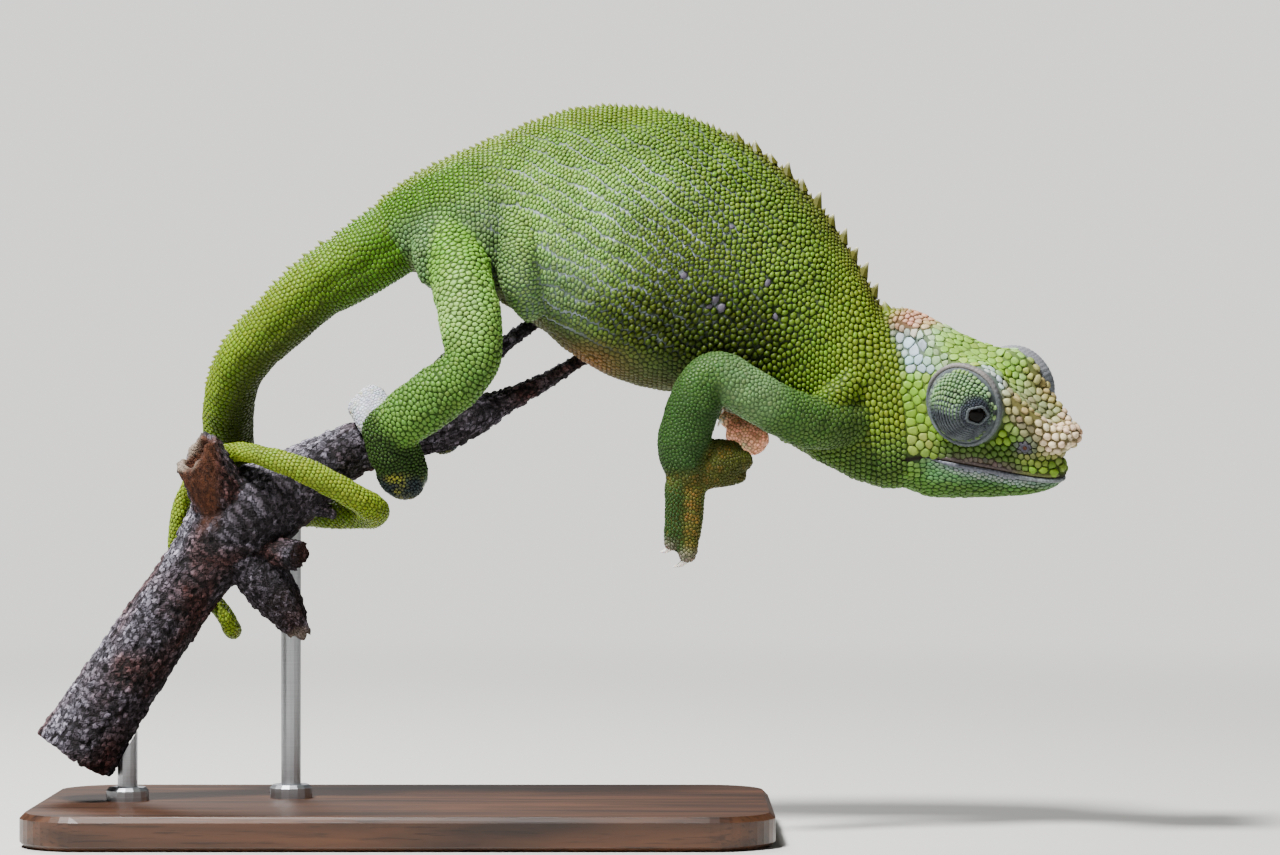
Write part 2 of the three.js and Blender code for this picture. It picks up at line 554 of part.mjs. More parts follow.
function addHead() {

	const whole = skull();
	const roomForTurret = [];
	for ( const [ name, side ] of [ [ 'right', - 1 ], [ 'left', 1 ] ] ) {

		const centre = new THREE.Vector3( ...turret[ name ] );
		const rimCentre = centre.clone().setY( centre.y - side * lidRim.inset );
		const forward = radians( gaze[ name ] );
		const up = radians( gaze.up );
		const look = new THREE.Vector3( Math.sin( forward ) * Math.cos( up ),
			side * Math.cos( forward ) * Math.cos( up ), Math.sin( up ) );
		const pupil = centre.clone().addScaledVector( look, eyeReach );
		const apex = centre.clone().addScaledVector( look, lidTip.reach );
		const ball = ( r, at, bulge = r ) => toSolid( new THREE.SphereGeometry( 1, 12, 7 )
			.scale( r, bulge, r ).translate( ...at ) );
		const dome = ( grow ) => joined( [
			ball( turret.radius + grow, centre, turret.bulge + grow ),
			ball( lidRim.radius + grow, rimCentre, lidRim.bulge + grow ),
			ball( lidTip.radius + grow, apex )
		] );
		place( `eye_${ name }`, ball( eyeRadius, pupil ), eyeball, headGroup );
		place( `turret_${ name }`, dome( 0 ).subtract( ball( eyeRadius + seam, pupil ) ), headSkin, headGroup );
		roomForTurret.push( dome( seam ) );

	}

	const solid = roomForTurret.reduce( ( a, b ) => a.subtract( b ), whole );
	place( 'head', solid.subtract( belowMouth( - seam / 2, jawBack ) ), headSkin, headGroup );
	place( 'lower_jaw', solid.intersect( belowMouth( seam / 2, jawBack + seam ) ), headSkin, headGroup );

}

// Trunk, neck and tail

function addBody( headRoom ) {

	const gap = 0.06; // half a seam, in ribs
	const clear = 0.25; // no spine stands nearer the seam than this, in ribs
	const trunkSpines = crest( 0, neckStart - clear );
	const neckSpines = crest( neckStart + clear, lastRib );
	place( 'trunk', joined( [ ribLoft( 0, neckStart - gap, 16 ), ...trunkSpines ] ), skin );
	const neck = joined( [ ribLoft( neckStart + gap, lastRib, 5 ), ...neckSpines ] );
	place( 'neck', neck.subtract( headRoom ), skin );

}

function addTail( woodRoom, trunkRoom ) {

	const length = new THREE.CatmullRomCurve3( tailPath.map( ( s ) => new THREE.Vector3( ...s ) ) ).getLength();
	tailCuts.slice( 1 ).forEach( ( to, i ) => {

		const from = tailCuts[ i ];
		const first = i === 0;
		const last = to === 1;
		const piece = limb( tailPath, {
			sides: i < 2 ? 12 : 8,
			rings: i < 2 ? 5 : 8,
			from: first ? 0 : from + seam / 2 / length,
			to: last ? 1 : to - seam / 2 / length,
			roundStart: false,
			roundEnd: last
		} );
		place( `tail_${ i + 1 }`, piece.subtract( woodRoom ).subtract( trunkRoom ), tailSkin );

	} );

}

// Legs, feet and claws

function addLeg( name, leg, trunkRoom, woodRoom, tailRoom ) {

	const upper = limb( leg.upper, { flat: legFlat } ).subtract( trunkRoom ).subtract( tailRoom );
	const upperRoom = limb( leg.upper, { flat: legFlat, grow: seam } );
	const lower = limb( leg.lower, { flat: legFlat } )
		.subtract( upperRoom ).subtract( trunkRoom ).subtract( woodRoom );
	const lowerRoom = limb( leg.lower, { flat: legFlat, grow: seam } );
	const toes = foot( leg )
		.subtract( lowerRoom ).subtract( woodRoom ).subtract( trunkRoom ).subtract( tailRoom );
	const footRoom = foot( leg, seam );
	place( `upper_leg_${ name }`, upper, limbSkin );
	place( `lower_leg_${ name }`, lower, limbSkin );
	place( `foot_${ name }`, toes, palmSkin );
	leg.toes.forEach( ( toe, i ) => {

		const solid = claw( toe ).subtract( footRoom ).subtract( woodRoom ).subtract( tailRoom );
		place( `claw_${ name }_${ i + 1 }`, solid, horn );

	} );

}

const branch = wood().subtract( limb( stubHollow, { sides: 10, rings: 3 } ) );
const branchRoom = wood( seam );
const bodyRoom = ribLoft( 0, lastRib, 40, seam );
const tailSpace = limb( tailPath, { sides: 12, rings: 90, grow: seam } );
const headSpace = skull( seam ).transform( headGroup.matrix.toArray() );

place( 'perch_branch', branch, bark );
addStand( branchRoom );
addHead();
addBody( headSpace );
addTail( branchRoom, bodyRoom );
for ( const [ name, leg ] of Object.entries( legs ) ) addLeg( name, leg, bodyRoom, branchRoom, tailSpace );

export default scene;
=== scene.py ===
import bpy, math
import numpy as np
from mathutils import Vector, Matrix, kdtree, noise
from mathutils.bvhtree import BVHTree


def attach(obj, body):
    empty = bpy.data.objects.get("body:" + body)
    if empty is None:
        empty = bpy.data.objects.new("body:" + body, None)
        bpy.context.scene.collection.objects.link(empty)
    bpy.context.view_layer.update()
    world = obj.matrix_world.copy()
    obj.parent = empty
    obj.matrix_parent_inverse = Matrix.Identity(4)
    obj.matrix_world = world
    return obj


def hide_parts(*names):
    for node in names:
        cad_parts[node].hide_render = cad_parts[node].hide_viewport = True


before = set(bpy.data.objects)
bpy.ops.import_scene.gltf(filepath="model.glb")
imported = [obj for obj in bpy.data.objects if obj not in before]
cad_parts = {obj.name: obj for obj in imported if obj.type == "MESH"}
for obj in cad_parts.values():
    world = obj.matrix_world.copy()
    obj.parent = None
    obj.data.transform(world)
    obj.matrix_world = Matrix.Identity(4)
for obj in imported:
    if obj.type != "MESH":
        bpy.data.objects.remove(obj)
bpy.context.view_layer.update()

mm = 0.001
chance = np.random.RandomState(11)


def linear(hexText):
    parts = [int(hexText[i:i + 2], 16) / 255 for i in (1, 3, 5)]
    return [p / 12.92 if p <= 0.04045 else ((p + 0.055) / 1.055) ** 2.4 for p in parts]


def smooth(low, high, value):
    t = np.clip((np.asarray(value, float) - low) / (high - low), 0, 1)
    return t * t * (3 - 2 * t)


def unit(vectors):
    return vectors / np.maximum(np.linalg.norm(vectors, axis=-1, keepdims=True), 1e-9)


def mixTone(tone, other, share):
    share = np.asarray(share, float)[..., None]
    return tone * (1 - share) + np.asarray(other) * share


def rowsAt(rows, t):  # a smooth curve through rows of numbers, t counted in rows
    rows = np.asarray(rows, float)
    padded = np.vstack([2 * rows[0] - rows[1], rows, 2 * rows[-1] - rows[-2]])
    t = np.clip(np.asarray(t, float), 0, len(rows) - 1)
    k = np.minimum(t.astype(int), len(rows) - 2)
    f = (t - k)[:, None]
    a, b, c, d = (padded[k + i] for i in range(4))
    return 0.5 * (2 * b + (c - a) * f + (2 * a - 5 * b + 4 * c - d) * f ** 2 +
                  (3 * b - a - 3 * c + d) * f ** 3)


def roundAngles(count):
    return np.arange(count) / count * 2 * math.pi


def meshOf(name, points, faceGroups):  # faceGroups: index arrays, each of one face size
    mesh = bpy.data.meshes.new(name)
    corners = np.concatenate([g.ravel() for g in faceGroups]).astype(np.int32)
    sizes = np.concatenate([np.full(len(g), g.shape[1]) for g in faceGroups])
    starts = np.concatenate([[0], np.cumsum(sizes)[:-1]]).astype(np.int32)
    mesh.vertices.add(len(points))
    mesh.vertices.foreach_set("co", np.asarray(points, np.float32).ravel())
    mesh.loops.add(len(corners))
    mesh.loops.foreach_set("vertex_index", corners)
    mesh.polygons.add(len(sizes))
    mesh.polygons.foreach_set("loop_start", starts)
    mesh.update(calc_edges=True)
    mesh.validate()
    mesh.shade_smooth()
    return mesh


def place(mesh, name):
    piece = bpy.data.objects.new(name, mesh)
    bpy.context.scene.collection.objects.link(piece)
    return piece


def readRows(items, word, width, kind=np.float32):  # what Blender keeps of each item, a row for each
    out = np.empty(len(items) * width, kind)
    items.foreach_get(word, out)
    return out.reshape(-1, width)


def pointsOf(mesh):
    return readRows(mesh.vertices, "co", 3).astype(float)


def addAttribute(mesh, name, values, kind="FLOAT"):
    layer = mesh.attributes.new(name, kind, "POINT")
    values = np.asarray(values, np.float32)
    if kind == "FLOAT_COLOR":
        values = np.concatenate([values, np.ones((len(values), 1), np.float32)], 1)
    word = {"FLOAT": "value", "FLOAT_VECTOR": "vector", "FLOAT_COLOR": "color"}[kind]
    layer.data.foreach_set(word, values.ravel())


def hoopFaces(rings, sides, base):  # quads between closed rings, with a pole at each end
    i = np.arange(rings - 1)[:, None] * sides
    j = np.arange(sides)[None, :]
    k = (j + 1) % sides
    quads = np.stack([i + j, i + k, i + sides + k, i + sides + j], -1).reshape(-1, 4) + base
    first = rings * sides + base
    last = (rings - 1) * sides + base
    ends = [np.stack([np.full(sides, first), k[0] + base, j[0] + base], 1),
            np.stack([np.full(sides, first + 1), last + j[0], last + k[0]], 1)]
    return quads, np.concatenate(ends)


def closedMesh(name, shapes):  # one mesh of closed lofts; each loft's points end in its two poles
    points, quads, tris, base = [], [], [], 0
    for rings in shapes:
        points.append(np.concatenate([rings.reshape(-1, 3), rings[0].mean(0)[None], rings[-1].mean(0)[None]]))
        faces = hoopFaces(rings.shape[0], rings.shape[1], base)
        quads.append(faces[0])
        tris.append(faces[1])
        base += len(points[-1])
    return meshOf(name, np.concatenate(points) * mm, [np.concatenate(quads), np.concatenate(tris)])


# A loft along rows of x, y, z and radius: sink makes it thinner, flat squeezes it in y, blunt rounds its ends
def tube(shape, spacing, sides, sink=0.0, flat=1.0, start=(0, 0, 1), blunt=(True, True)):
    dense = rowsAt(shape, np.linspace(0, len(shape) - 1, 60 * len(shape)))
    length = runOf(dense[:, :3])
    count = max(4, int(round(length[-1] / spacing)) + 1)
    at = np.linspace(0, length[-1], count)
    path = np.stack([np.interp(at, length, dense[:, i]) for i in range(4)], 1)
    tangent = unit(np.gradient(path[:, :3], axis=0))
    normal = np.empty_like(tangent)
    normal[0] = np.asarray(start, float)
    for i in range(count):  # the first direction is carried along without twist
        carried = normal[i - 1] if i else normal[0]
        normal[i] = unit(carried - tangent[i] * carried.dot(tangent[i]))
    across = np.cross(tangent, normal)
    angle = roundAngles(sides)
    radius = path[:, 3] - sink

    def hoop(i, share, past):
        out = normal[i] * np.cos(angle)[:, None] + across[i] * np.sin(angle)[:, None]
        out[:, 1] *= flat
        return path[i, :3] + tangent[i] * past * radius[i] + out * radius[i] * share

    endSteps = (0.35, 0.65, 0.87, 0.97)
    rings = [hoop(i, 1, 0) for i in range(count)]
    if blunt[0]:
        rings = [hoop(0, math.sqrt(1 - s * s), -s) for s in reversed(endSteps)] + rings
    if blunt[1]:
        rings += [hoop(count - 1, math.sqrt(1 - s * s), s) for s in endSteps]
    return np.array(rings)


def runOf(path):  # how far along a path each of its points is
    return np.concatenate([[0], np.cumsum(np.linalg.norm(np.diff(path, axis=0), axis=1))])


def closedAt(points, count):  # a smooth closed curve through points
    n = len(points)
    wrapped = np.concatenate([points[-2:], points, points[:3]])
    return rowsAt(wrapped, 2 + np.arange(count) / count * n)


def mirrored(stations):
    return [[x, -y, z, r] for x, y, z, r in stations]


# The animal faces +X, its right side is -Y. All the sizes below are millimetres.

palette = {name: np.array(linear(text)) for name, text in {
    "leaf": "#547313", "deepLeaf": "#5d7824", "rearLeaf": "#436d0a", "paleFlank": "#7da64e",
    "olive": "#43530a", "lowOlive": "#324005", "neckYellow": "#62771a", "cream": "#dedab1",
    "ochre": "#8a8632", "crestOlive": "#4e511c", "skinLine": "#cbd8e6", "mauve": "#5c5663",
    "bellySand": "#535833", "apricot": "#77542b", "tailYellow": "#6c850e",
    "tailGreen": "#4f690d", "tailUnder": "#364403", "thigh": "#64942f", "shin": "#53792d",
    "ankle": "#2c4516", "padGrey": "#253032", "paleToe": "#b3b6c0", "padYellow": "#90902a",
    "armGreen": "#3b5b23", "elbow": "#5c7b49", "forearm": "#284318", "palm": "#3d4212",
    "fingerOlive": "#3d521c", "rustStreak": "#794d18", "tipRose": "#927f79", "farOrange": "#ffb695",
    "farBrown": "#7c411c", "cheek": "#6b9022", "crown": "#85ae43", "casqueRose": "#c18e75",
    "plateBlue": "#a0b1bf", "canthus": "#b0c0c4",
    "snoutTop": "#87995f", "snoutRidge": "#a8985c", "knob": "#d7c19d",
    "snoutSide": "#797358", "underEye": "#3b551c", "upperLip": "#594c49", "lowerLip": "#6f727e",
    "jawBlue": "#4c7644", "jaw": "#4a6e2a", "throat": "#435f20", "nostril": "#44424c",
    "lid": "#5e6568", "lidWarm": "#8a8380", "bead": "#749666", "beadLow": "#333840", "shade": "#5c794f",
    "backYellow": "#5c7516", "bellyGrey": "#516333", "casqueWhite": "#9bb091", "cheekYellow": "#8a9946",
    "snoutOlive": "#686f32", "lipWhite": "#8f9e92", "coil": "#788c20", "paleKnee": "#8bb15b",
    "chestGreen": "#3e571f", "rim": "#505659", "lineGrey": "#62685e", "mouthLine": "#201a16",
    "noseInside": "#4c2817", "ankleGrey": "#475e32", "farCream": "#d0b990",
    # crease: a painted shadow for the turrets' inner folds
    "blueFlank": "#627d52", "crease": "#141a1c",
}.items()}

# Trunk and neck, a row of ribs: back x, back z, belly x, belly z, y, half width
trunk = {
    "ribs": [
        [-4.15, 94.9, 1.85, 84.1, 0, 5.4], [0.85, 98.5, 5.25, 82.3, 0, 6.6],
        [7.25, 101.8, 9.25, 81.2, 0, 7.6], [13.85, 104.6, 14.25, 79.6, 0, 8.8],
        [20.25, 107.3, 19.55, 76.3, 0, 9.8], [25.25, 108.7, 24.55, 72.2, 0, 10.3],
        [30.95, 109.3, 30.05, 68.8, 0, 10.4], [37.55, 108.8, 36.05, 66.8, 0, 10.1],
        [44.25, 106.9, 42.05, 65.6, 0, 9.4], [51.15, 103.6, 47.55, 63.5, 0, 8.6],
        [56.15, 100.1, 53.55, 61.0, 0, 8.0], [60.95, 95.6, 58.85, 57.7, 0, 7.5],
        [65.15, 89.9, 63.85, 54.8, -0.2, 7.1], [68.25, 84.7, 69.25, 52.4, -0.6, 6.8],
        [71.65, 78.6, 74.05, 51.6, -1.6, 6.4], [78.75, 74.0, 81.75, 54.0, -4.0, 5.4],
    ],
    "count": 170, "sides": 120, "coat": 0.30,
}


def ribHoops(count, sides, sink):
    last = len(trunk["ribs"]) - 1
    rows = rowsAt(trunk["ribs"], np.linspace(0, last, count))
    c, s = np.cos(roundAngles(sides)), np.sin(roundAngles(sides))
    hoops = []
    for backX, backZ, bellyX, bellyZ, y, halfWidth in rows:
        up = np.array([backX - bellyX, 0, backZ - bellyZ]) / 2
        half = np.linalg.norm(up)
        tall = smooth(6, 16, half)
        centre = np.array([bellyX, y, bellyZ]) + up
        pinch = 1 + tall * (0.18 + 0.22 * c)
        side = (halfWidth - sink) * np.sign(s) * np.abs(s) ** pinch
        rise = c - 0.12 * tall * s * s
        hoops.append(centre + rise[:, None] * up * (half - sink) / half + side[:, None] * np.array([0, 1, 0]))
    return np.array(hoops)


# Tail: x, y, z, radius, from the hip to the curled tip
tail = {
    "path": [
        [1.5, 0, 90.6, 5.6], [-1, 0, 89.6, 5.7], [-7.3, 0, 85.3, 5.45], [-13.1, 0, 81.9, 5.0],
        [-18.5, 0, 77.0, 4.6], [-23.1, 1, 72.6, 4.25], [-26.0, 3.5, 68.0, 4.0], [-27.3, 8, 62.5, 4.0],
        [-27.3, 12, 57.6, 3.8], [-25.7, 13.2, 53.4, 3.5], [-21.2, 12.2, 50.2, 3.2], [-15.6, 9.5, 48.6, 2.9],
        [-9.6, 5, 48.0, 2.55], [-5.5, 0.6, 47.9, 2.4], [-4.3, -3.6, 48.6, 2.3], [-6.4, -6.7, 50.2, 2.2],
        [-10.8, -8.4, 52.8, 2.1], [-15.4, -9.3, 55.0, 2.0],
        [-21.0, -8.2, 56.8, 1.7], [-25.3, -3.6, 57.3, 1.6],
        [-29.6, 1.6, 56.0, 1.55], [-33.1, 4.8, 51.4, 1.5], [-34.7, 5.8, 46.6, 1.5], [-34.9, 7.2, 41.6, 1.5],
        [-32.8, 8.6, 37.6, 1.5], [-29.4, 8.4, 34.4, 1.5], [-27.0, 5.6, 31.4, 1.5], [-26.0, 1.4, 30.4, 1.5],
        [-26.6, -2.0, 32.2, 1.25], [-27.6, -3.6, 34.4, 0.55],
    ],
    "coat": 0.25, "spacing": 0.5, "sides": 40, "groove": 0.1,
}

# Legs: each limb is x, y, z, radius; a toe is its path and its claw's tip
legs = {
    "hind_right": {
        "limb": [[6.6, -3, 90, 5.2], [8.8, -8.6, 82.6, 4.7], [10.3, -11, 76.4, 4.7], [10.6, -11.6, 71.6, 4.3],
                 [9.2, -11.7, 68.6, 4.15], [5.6, -11.1, 65.9, 4.4],
                 [2.4, -10.4, 63.6, 4.4], [-1.8, -9.1, 60.6, 3.9]],
        "sole": [[-2.2, -8.9, 60.4, 3.8], [-1.8, -8.2, 57.0, 3.3]],
        "toes": [
            ([[-2.4, -8.0, 57.2, 1.9], [-2.3, -7.4, 53.8, 1.5], [-1.8, -5.8, 52.2, 1.2]], [-1.4, -3.4, 51.4]),
            ([[-0.8, -8.4, 56.8, 1.9], [0.0, -7.6, 53.2, 1.5], [0.3, -5.8, 51.8, 1.2]], [0.7, -3.4, 51.2]),
            ([[1.0, -7.8, 57.6, 1.9], [2.4, -7.0, 54.8, 1.5], [2.7, -5.6, 53.4, 1.2]], [3.1, -3.2, 53.0]),
            ([[-2.6, -6.6, 62.4, 2.4], [-4.6, -2.8, 65.4, 1.9],
              [-4.4, 1.8, 65.0, 1.7], [-3.6, 4.9, 62.0, 1.3]],
             [-3.0, 6.0, 59.6]),
            ([[-4.0, -6.6, 60.8, 2.3], [-6.5, -3.6, 63.6, 1.8],
              [-6.7, 1.2, 63.4, 1.6], [-6.0, 4.7, 60.8, 1.3]],
             [-5.4, 5.8, 58.4]),
        ],
    },
    "hind_left": {
        "limb": [[6.6, 3, 90, 5.2], [8.2, 8.6, 83.0, 4.6], [9.2, 11.4, 77.2, 4.4], [9.5, 12.2, 72.6, 4.0],
                 [8.4, 12.1, 70.2, 3.9], [6.4, 11.0, 68.2, 3.85], [4.6, 9.4, 66.2, 3.6]],
        "sole": [[4.4, 9.0, 66.0, 3.5], [4.8, 8.2, 63.4, 3.0]],
        "toes": [
            ([[3.4, 8.0, 63.4, 1.8], [3.0, 7.4, 60.4, 1.5], [3.2, 5.6, 58.6, 1.2]], [3.6, 3.2, 57.6]),
            ([[5.0, 8.3, 63.2, 1.8], [5.2, 7.5, 60.4, 1.5], [5.4, 5.7, 58.8, 1.2]], [5.6, 3.2, 58.0]),
            ([[6.4, 7.9, 63.8, 1.7], [7.4, 7.0, 61.4, 1.4], [7.6, 5.3, 59.8, 1.1]], [7.8, 3.0, 59.0]),
            ([[3.6, 7.0, 66.4, 2.3], [2.4, 3.2, 67.6, 1.8], [1.6, -1.4, 66.6, 1.6], [0.9, -4.0, 64.6, 1.2]],
             [0.2, -5.3, 62.8]),
            ([[5.2, 6.8, 66.8, 2.2], [5.6, 3.0, 68.4, 1.7], [5.2, -1.2, 67.8, 1.5], [4.4, -3.8, 65.8, 1.2]],
             [3.6, -4.9, 63.8]),
        ],
    },
    "front_right": {
        "limb": [[67.8, -3.6, 62.5, 4.2], [60.6, -8.2, 61.6, 4.0],
                 [53.0, -10.8, 65.0, 3.9], [47.6, -11.8, 68.2, 3.9],
                 [44.8, -12.1, 67.6, 3.8], [43.2, -12.2, 64.2, 4.05],
                 [41.6, -12.0, 58.6, 4.0], [42.1, -11.6, 54.4, 3.4]],
        "sole": [[42.1, -11.6, 54.0, 3.2], [43.4, -11.3, 54.4, 3.0]],
        "toes": [
            ([[40.9, -11.8, 52.6, 2.1], [40.6, -11.4, 47.4, 1.8], [39.9, -10.8, 43.9, 1.3]],
             [37.9, -9.9, 42.2]),
            ([[42.9, -11.6, 52.4, 2.2], [42.7, -11.2, 46.8, 1.8], [42.2, -10.8, 42.2, 1.4]],
             [39.7, -10.0, 39.9]),
            ([[44.0, -11.6, 57.0, 2.0], [47.0, -11.0, 57.6, 1.7], [49.0, -9.6, 57.9, 1.3]],
             [50.0, -7.2, 57.2]),
            ([[44.0, -11.8, 55.4, 2.0], [47.6, -11.2, 55.7, 1.9], [50.6, -9.8, 56.0, 1.5]],
             [51.7, -7.4, 55.2]),
            ([[43.8, -11.6, 53.6, 2.0], [46.8, -11.0, 53.7, 1.8], [49.8, -9.6, 53.9, 1.4]],
             [50.8, -7.2, 53.1]),
        ],
    },
    "front_left": {
        "limb": [[67.8, 3.6, 62.5, 4.2], [60.6, 8.2, 63.0, 4.0],
                 [53.0, 11.0, 67.0, 3.9], [47.0, 12.2, 70.7, 3.8],
                 [45.4, 12.4, 70.2, 3.7], [47.0, 12.4, 67.2, 3.75],
                 [50.2, 11.6, 63.8, 3.3], [52.2, 10.4, 61.8, 2.8]],
        "sole": [[52.4, 10.0, 61.4, 2.6], [52.0, 8.6, 60.6, 2.3]],
        "toes": [
            ([[51.0, 8.8, 61.4, 1.6], [49.4, 8.2, 61.8, 1.3], [48.2, 7.6, 62.0, 1.0]], [46.8, 6.8, 60.9]),
            ([[51.4, 9.8, 62.0, 1.5], [49.6, 9.8, 62.4, 1.2], [48.4, 9.4, 62.6, 0.9]], [47.9, 8.8, 64.2]),
            ([[51.6, 7.4, 60.8, 1.7], [49.6, 6.8, 60.2, 1.5], [49.6, 7.6, 59.0, 1.2]], [49.8, 9.6, 58.2]),
            ([[52.4, 6.8, 60.4, 1.7], [53.2, 5.8, 59.4, 1.5], [51.8, 5.6, 58.4, 1.1]], [49.8, 6.4, 58.4]),
            ([[53.2, 8.2, 60.2, 1.6], [53.6, 7.8, 59.0, 1.4], [52.6, 8.0, 57.9, 1.1]], [51.0, 8.8, 57.2]),
        ],
    },
}
legCoat = {"limb": 0.25, "toe": 0.16, "flat": 0.86, "spacing": 0.5, "sides": 44, "toeSides": 24}

# Head, in its own frame: x to the snout, y to its left, z to the crown.
# Sections: x, crown z, ridge y, ridge z, cheek y, cheek z, lip y, lip z, jaw z
head = {
    "place": [87, -8, 65.8], "yaw": -33, "pitch": 6, "roll": 13,
    "sections": [
        [-17.6, 11.0, 0.7, 10.7, 1.1, 9.9, 0.9, 9.0, 8.7], [-16.0, 11.6, 1.7, 10.9, 3.2, 7.0, 3.0, 1.0, -2.0],
        [-14.0, 11.5, 2.3, 10.2, 5.2, 2.0, 5.4, -8.0, -14.0],
        [-10.5, 10.6, 2.9, 9.2, 6.3, 1.0, 6.5, -9.2, -16.1],
        [-7.0, 8.9, 3.8, 7.7, 6.6, 0, 6.5, -9.0, -16.4], [-3.5, 6.7, 4.8, 6.4, 6.3, -1, 6.0, -9.2, -16.0],
        [0, 4.9, 5.3, 5.7, 6.0, -1.5, 5.5, -9.6, -15.6], [3, 3.0, 5.1, 4.4, 5.5, -2.4, 4.9, -10.0, -15.1],
        [6, 0.6, 4.6, 1.2, 5.0, -4.0, 4.3, -10.4, -14.6],
        [8.8, -1.8, 3.9, -1.5, 4.3, -5.2, 3.4, -10.8, -13.9],
        [10.8, -3.3, 3.2, -3.0, 3.3, -6.2, 2.4, -10.9, -12.9],
        [11.9, -4.4, 2.1, -4.4, 1.9, -7.0, 1.3, -10.7, -11.8],
    ],
    "knobs": [[12.2, 1.6, -5.2, 2.0], [10.2, 2.6, -3.6, 1.6]],  # x, y, z, radius, one each side
    "canthus": [[2.6, 5.0, 3.2, 0.9], [5.6, 4.5, 0.5, 1.0], [8.6, 3.7, -1.9, 1.1], [11.2, 2.3, -4.3, 1.3]],
    "casqueEdge": [[-3.0, 4.8, 5.6, 0.6], [-8.0, 3.5, 7.7, 0.65],
                   [-12.5, 2.4, 9.6, 0.7], [-16.8, 1.0, 10.6, 0.6]],
    "mouth": [[-13.4, -9.7], [-7.5, -8.9], [3.9, -10.1], [11, -11.1], [14, -11.3]],  # x, z
    "notch": {"z": -8.3, "tall": 1.1, "from": (8.5, 11.5)},  # the fold between the snout and the upper lip
    "count": 110, "sides": 110, "coat": 0.25,
}
headAxes = np.array(Matrix.Rotation(math.radians(head["yaw"]), 3, "Z") @
                    Matrix.Rotation(math.radians(head["pitch"]), 3, "Y") @
                    Matrix.Rotation(math.radians(head["roll"]), 3, "X"))


def fromHead(points):
    return np.asarray(points, float) @ headAxes.T + np.array(head["place"])


def toHead(points):
    return (np.asarray(points, float) - np.array(head["place"])) @ headAxes


def headHoops(count, sides, sink):
    rows = np.array(head["sections"], float)
    strings = []
    for x, crown, ridgeY, ridgeZ, cheekY, cheekZ, lipY, lipZ, jaw in rows:
        half = [[ridgeY, ridgeZ], [cheekY, cheekZ], [lipY, lipZ], [0.78 * lipY, jaw + 0.22 * (lipZ - jaw)]]
        other = [[-y, z] for y, z in reversed(half)]
        strings.append([[x, y, z] for y, z in [[0, crown]] + half + [[0, jaw]] + other])
    strings = np.array(strings)
    t = np.linspace(0, len(rows) - 1, count)
    curves = np.stack([rowsAt(strings[:, j], t) for j in range(strings.shape[1])], 1)
    hoops = []
    for row in curves:
        hoop = closedAt(row, sides)
        centre = hoop.mean(0)
        hoops.append(hoop - unit(hoop - centre) * sink)
    front = hoops[-1]
    middle = front.mean(0)
    for s in (0.4, 0.7, 0.9, 0.98):
        hoops.append(middle + (front - middle) * math.sqrt(1 - s * s) + np.array([0.9 * s, 0, 0]))
    hoops = np.array(hoops)
    notch = head["notch"]
    ahead = smooth(*notch["from"], hoops[..., 0])
    hoops[..., 0] -= np.exp(-((hoops[..., 2] - notch["z"]) / notch["tall"]) ** 2) * ahead
    return hoops


# Eye turrets: domes that turn about the line of sight, in the head's frame
turret = {
    "right": [-0.8, 6.4, -0.2], "left": [0.8, 6.9, -0.2],
    "radius": 5.15, "tip": 1.0, "tipSpread": 27, "top": 6.0, "flatten": 0.9, "widest": 150,
    "forward": {-1: 46, 1: 4}, "up": -3, "count": 60, "sides": 72,
    # each fold: radius, thick, out, tall
    "folds": [[5.92, 0.38, 0.0, 0.55], [5.38, 0.2, 0.12, 0.5], [5.0, 0.16, 0.35, 0.4]],
    "rimRadius": 1.4, "rimThick": 0.2, "eyeRadius": 2.0, "eyeDeep": 1.7, "creaseThick": 0.17,
    # the mound under the turret: out, radius
    "mound": [[-3.8, 6.2], [-2.0, 6.15], [-0.6, 6.0], [0.3, 5.8], [0.9, 5.4], [1.1, 4.9], [0.6, 4.2]],
}


def turretCentre(side):
    x, y, z = turret["left" if side > 0 else "right"]
    return np.array([x, side * y, z])


def turretAxes(side):
    forward, up = math.radians(turret["forward"][side]), math.radians(turret["up"])
    look = np.array([math.sin(forward) * math.cos(up), side * math.cos(forward) * math.cos(up), math.sin(up)])
    over = unit(np.array([0, 0, 1.0]) - look * look[2])
    centre = turretCentre(side)
    return centre, look, over, np.cross(look, over) * side


def turretProfile(polar):  # how far along the gaze, and how far from it, at an angle from the gaze
    r = turret["radius"] + turret["tip"] * math.exp(-(polar / turret["tipSpread"]) ** 2)
    return min(r * math.cos(math.radians(polar)), turret["top"]), r * math.sin(math.radians(polar))


def turretHoops(side):
    centre, look, over, across = turretAxes(side)
    angle = roundAngles(turret["sides"])
    around = over * np.cos(angle)[:, None] + across * np.sin(angle)[:, None]
    hoops = []
    for polar in np.linspace(3, turret["widest"], turret["count"]):
        height, out = turretProfile(polar)
        hoop = look * height + out * around
        hoop[:, 1] *= turret["flatten"]
        hoops.append(centre + hoop)
    return fromHead(np.array(hoops))


def ringTube(centre, axis, over, radius, thick, segments, sides, squash):  # a closed round fold
    axis, over = unit(axis), unit(over - axis * axis.dot(over))
    across = np.cross(axis, over)
    a, b = roundAngles(segments), roundAngles(sides)
    out = over * np.cos(a)[:, None] + across * np.sin(a)[:, None]
    ring = centre + out[:, None, :] * (radius + thick * np.cos(b))[None, :, None]
    ring = ring + axis * (thick * squash * np.sin(b))[None, :, None]
    i, j = np.meshgrid(np.arange(segments), np.arange(sides), indexing="ij")
    i2, j2 = (i + 1) % segments, (j + 1) % sides
    quads = np.stack([i * sides + j, i2 * sides + j, i2 * sides + j2, i * sides + j2], -1).reshape(-1, 4)
    return ring.reshape(-1, 3), quads


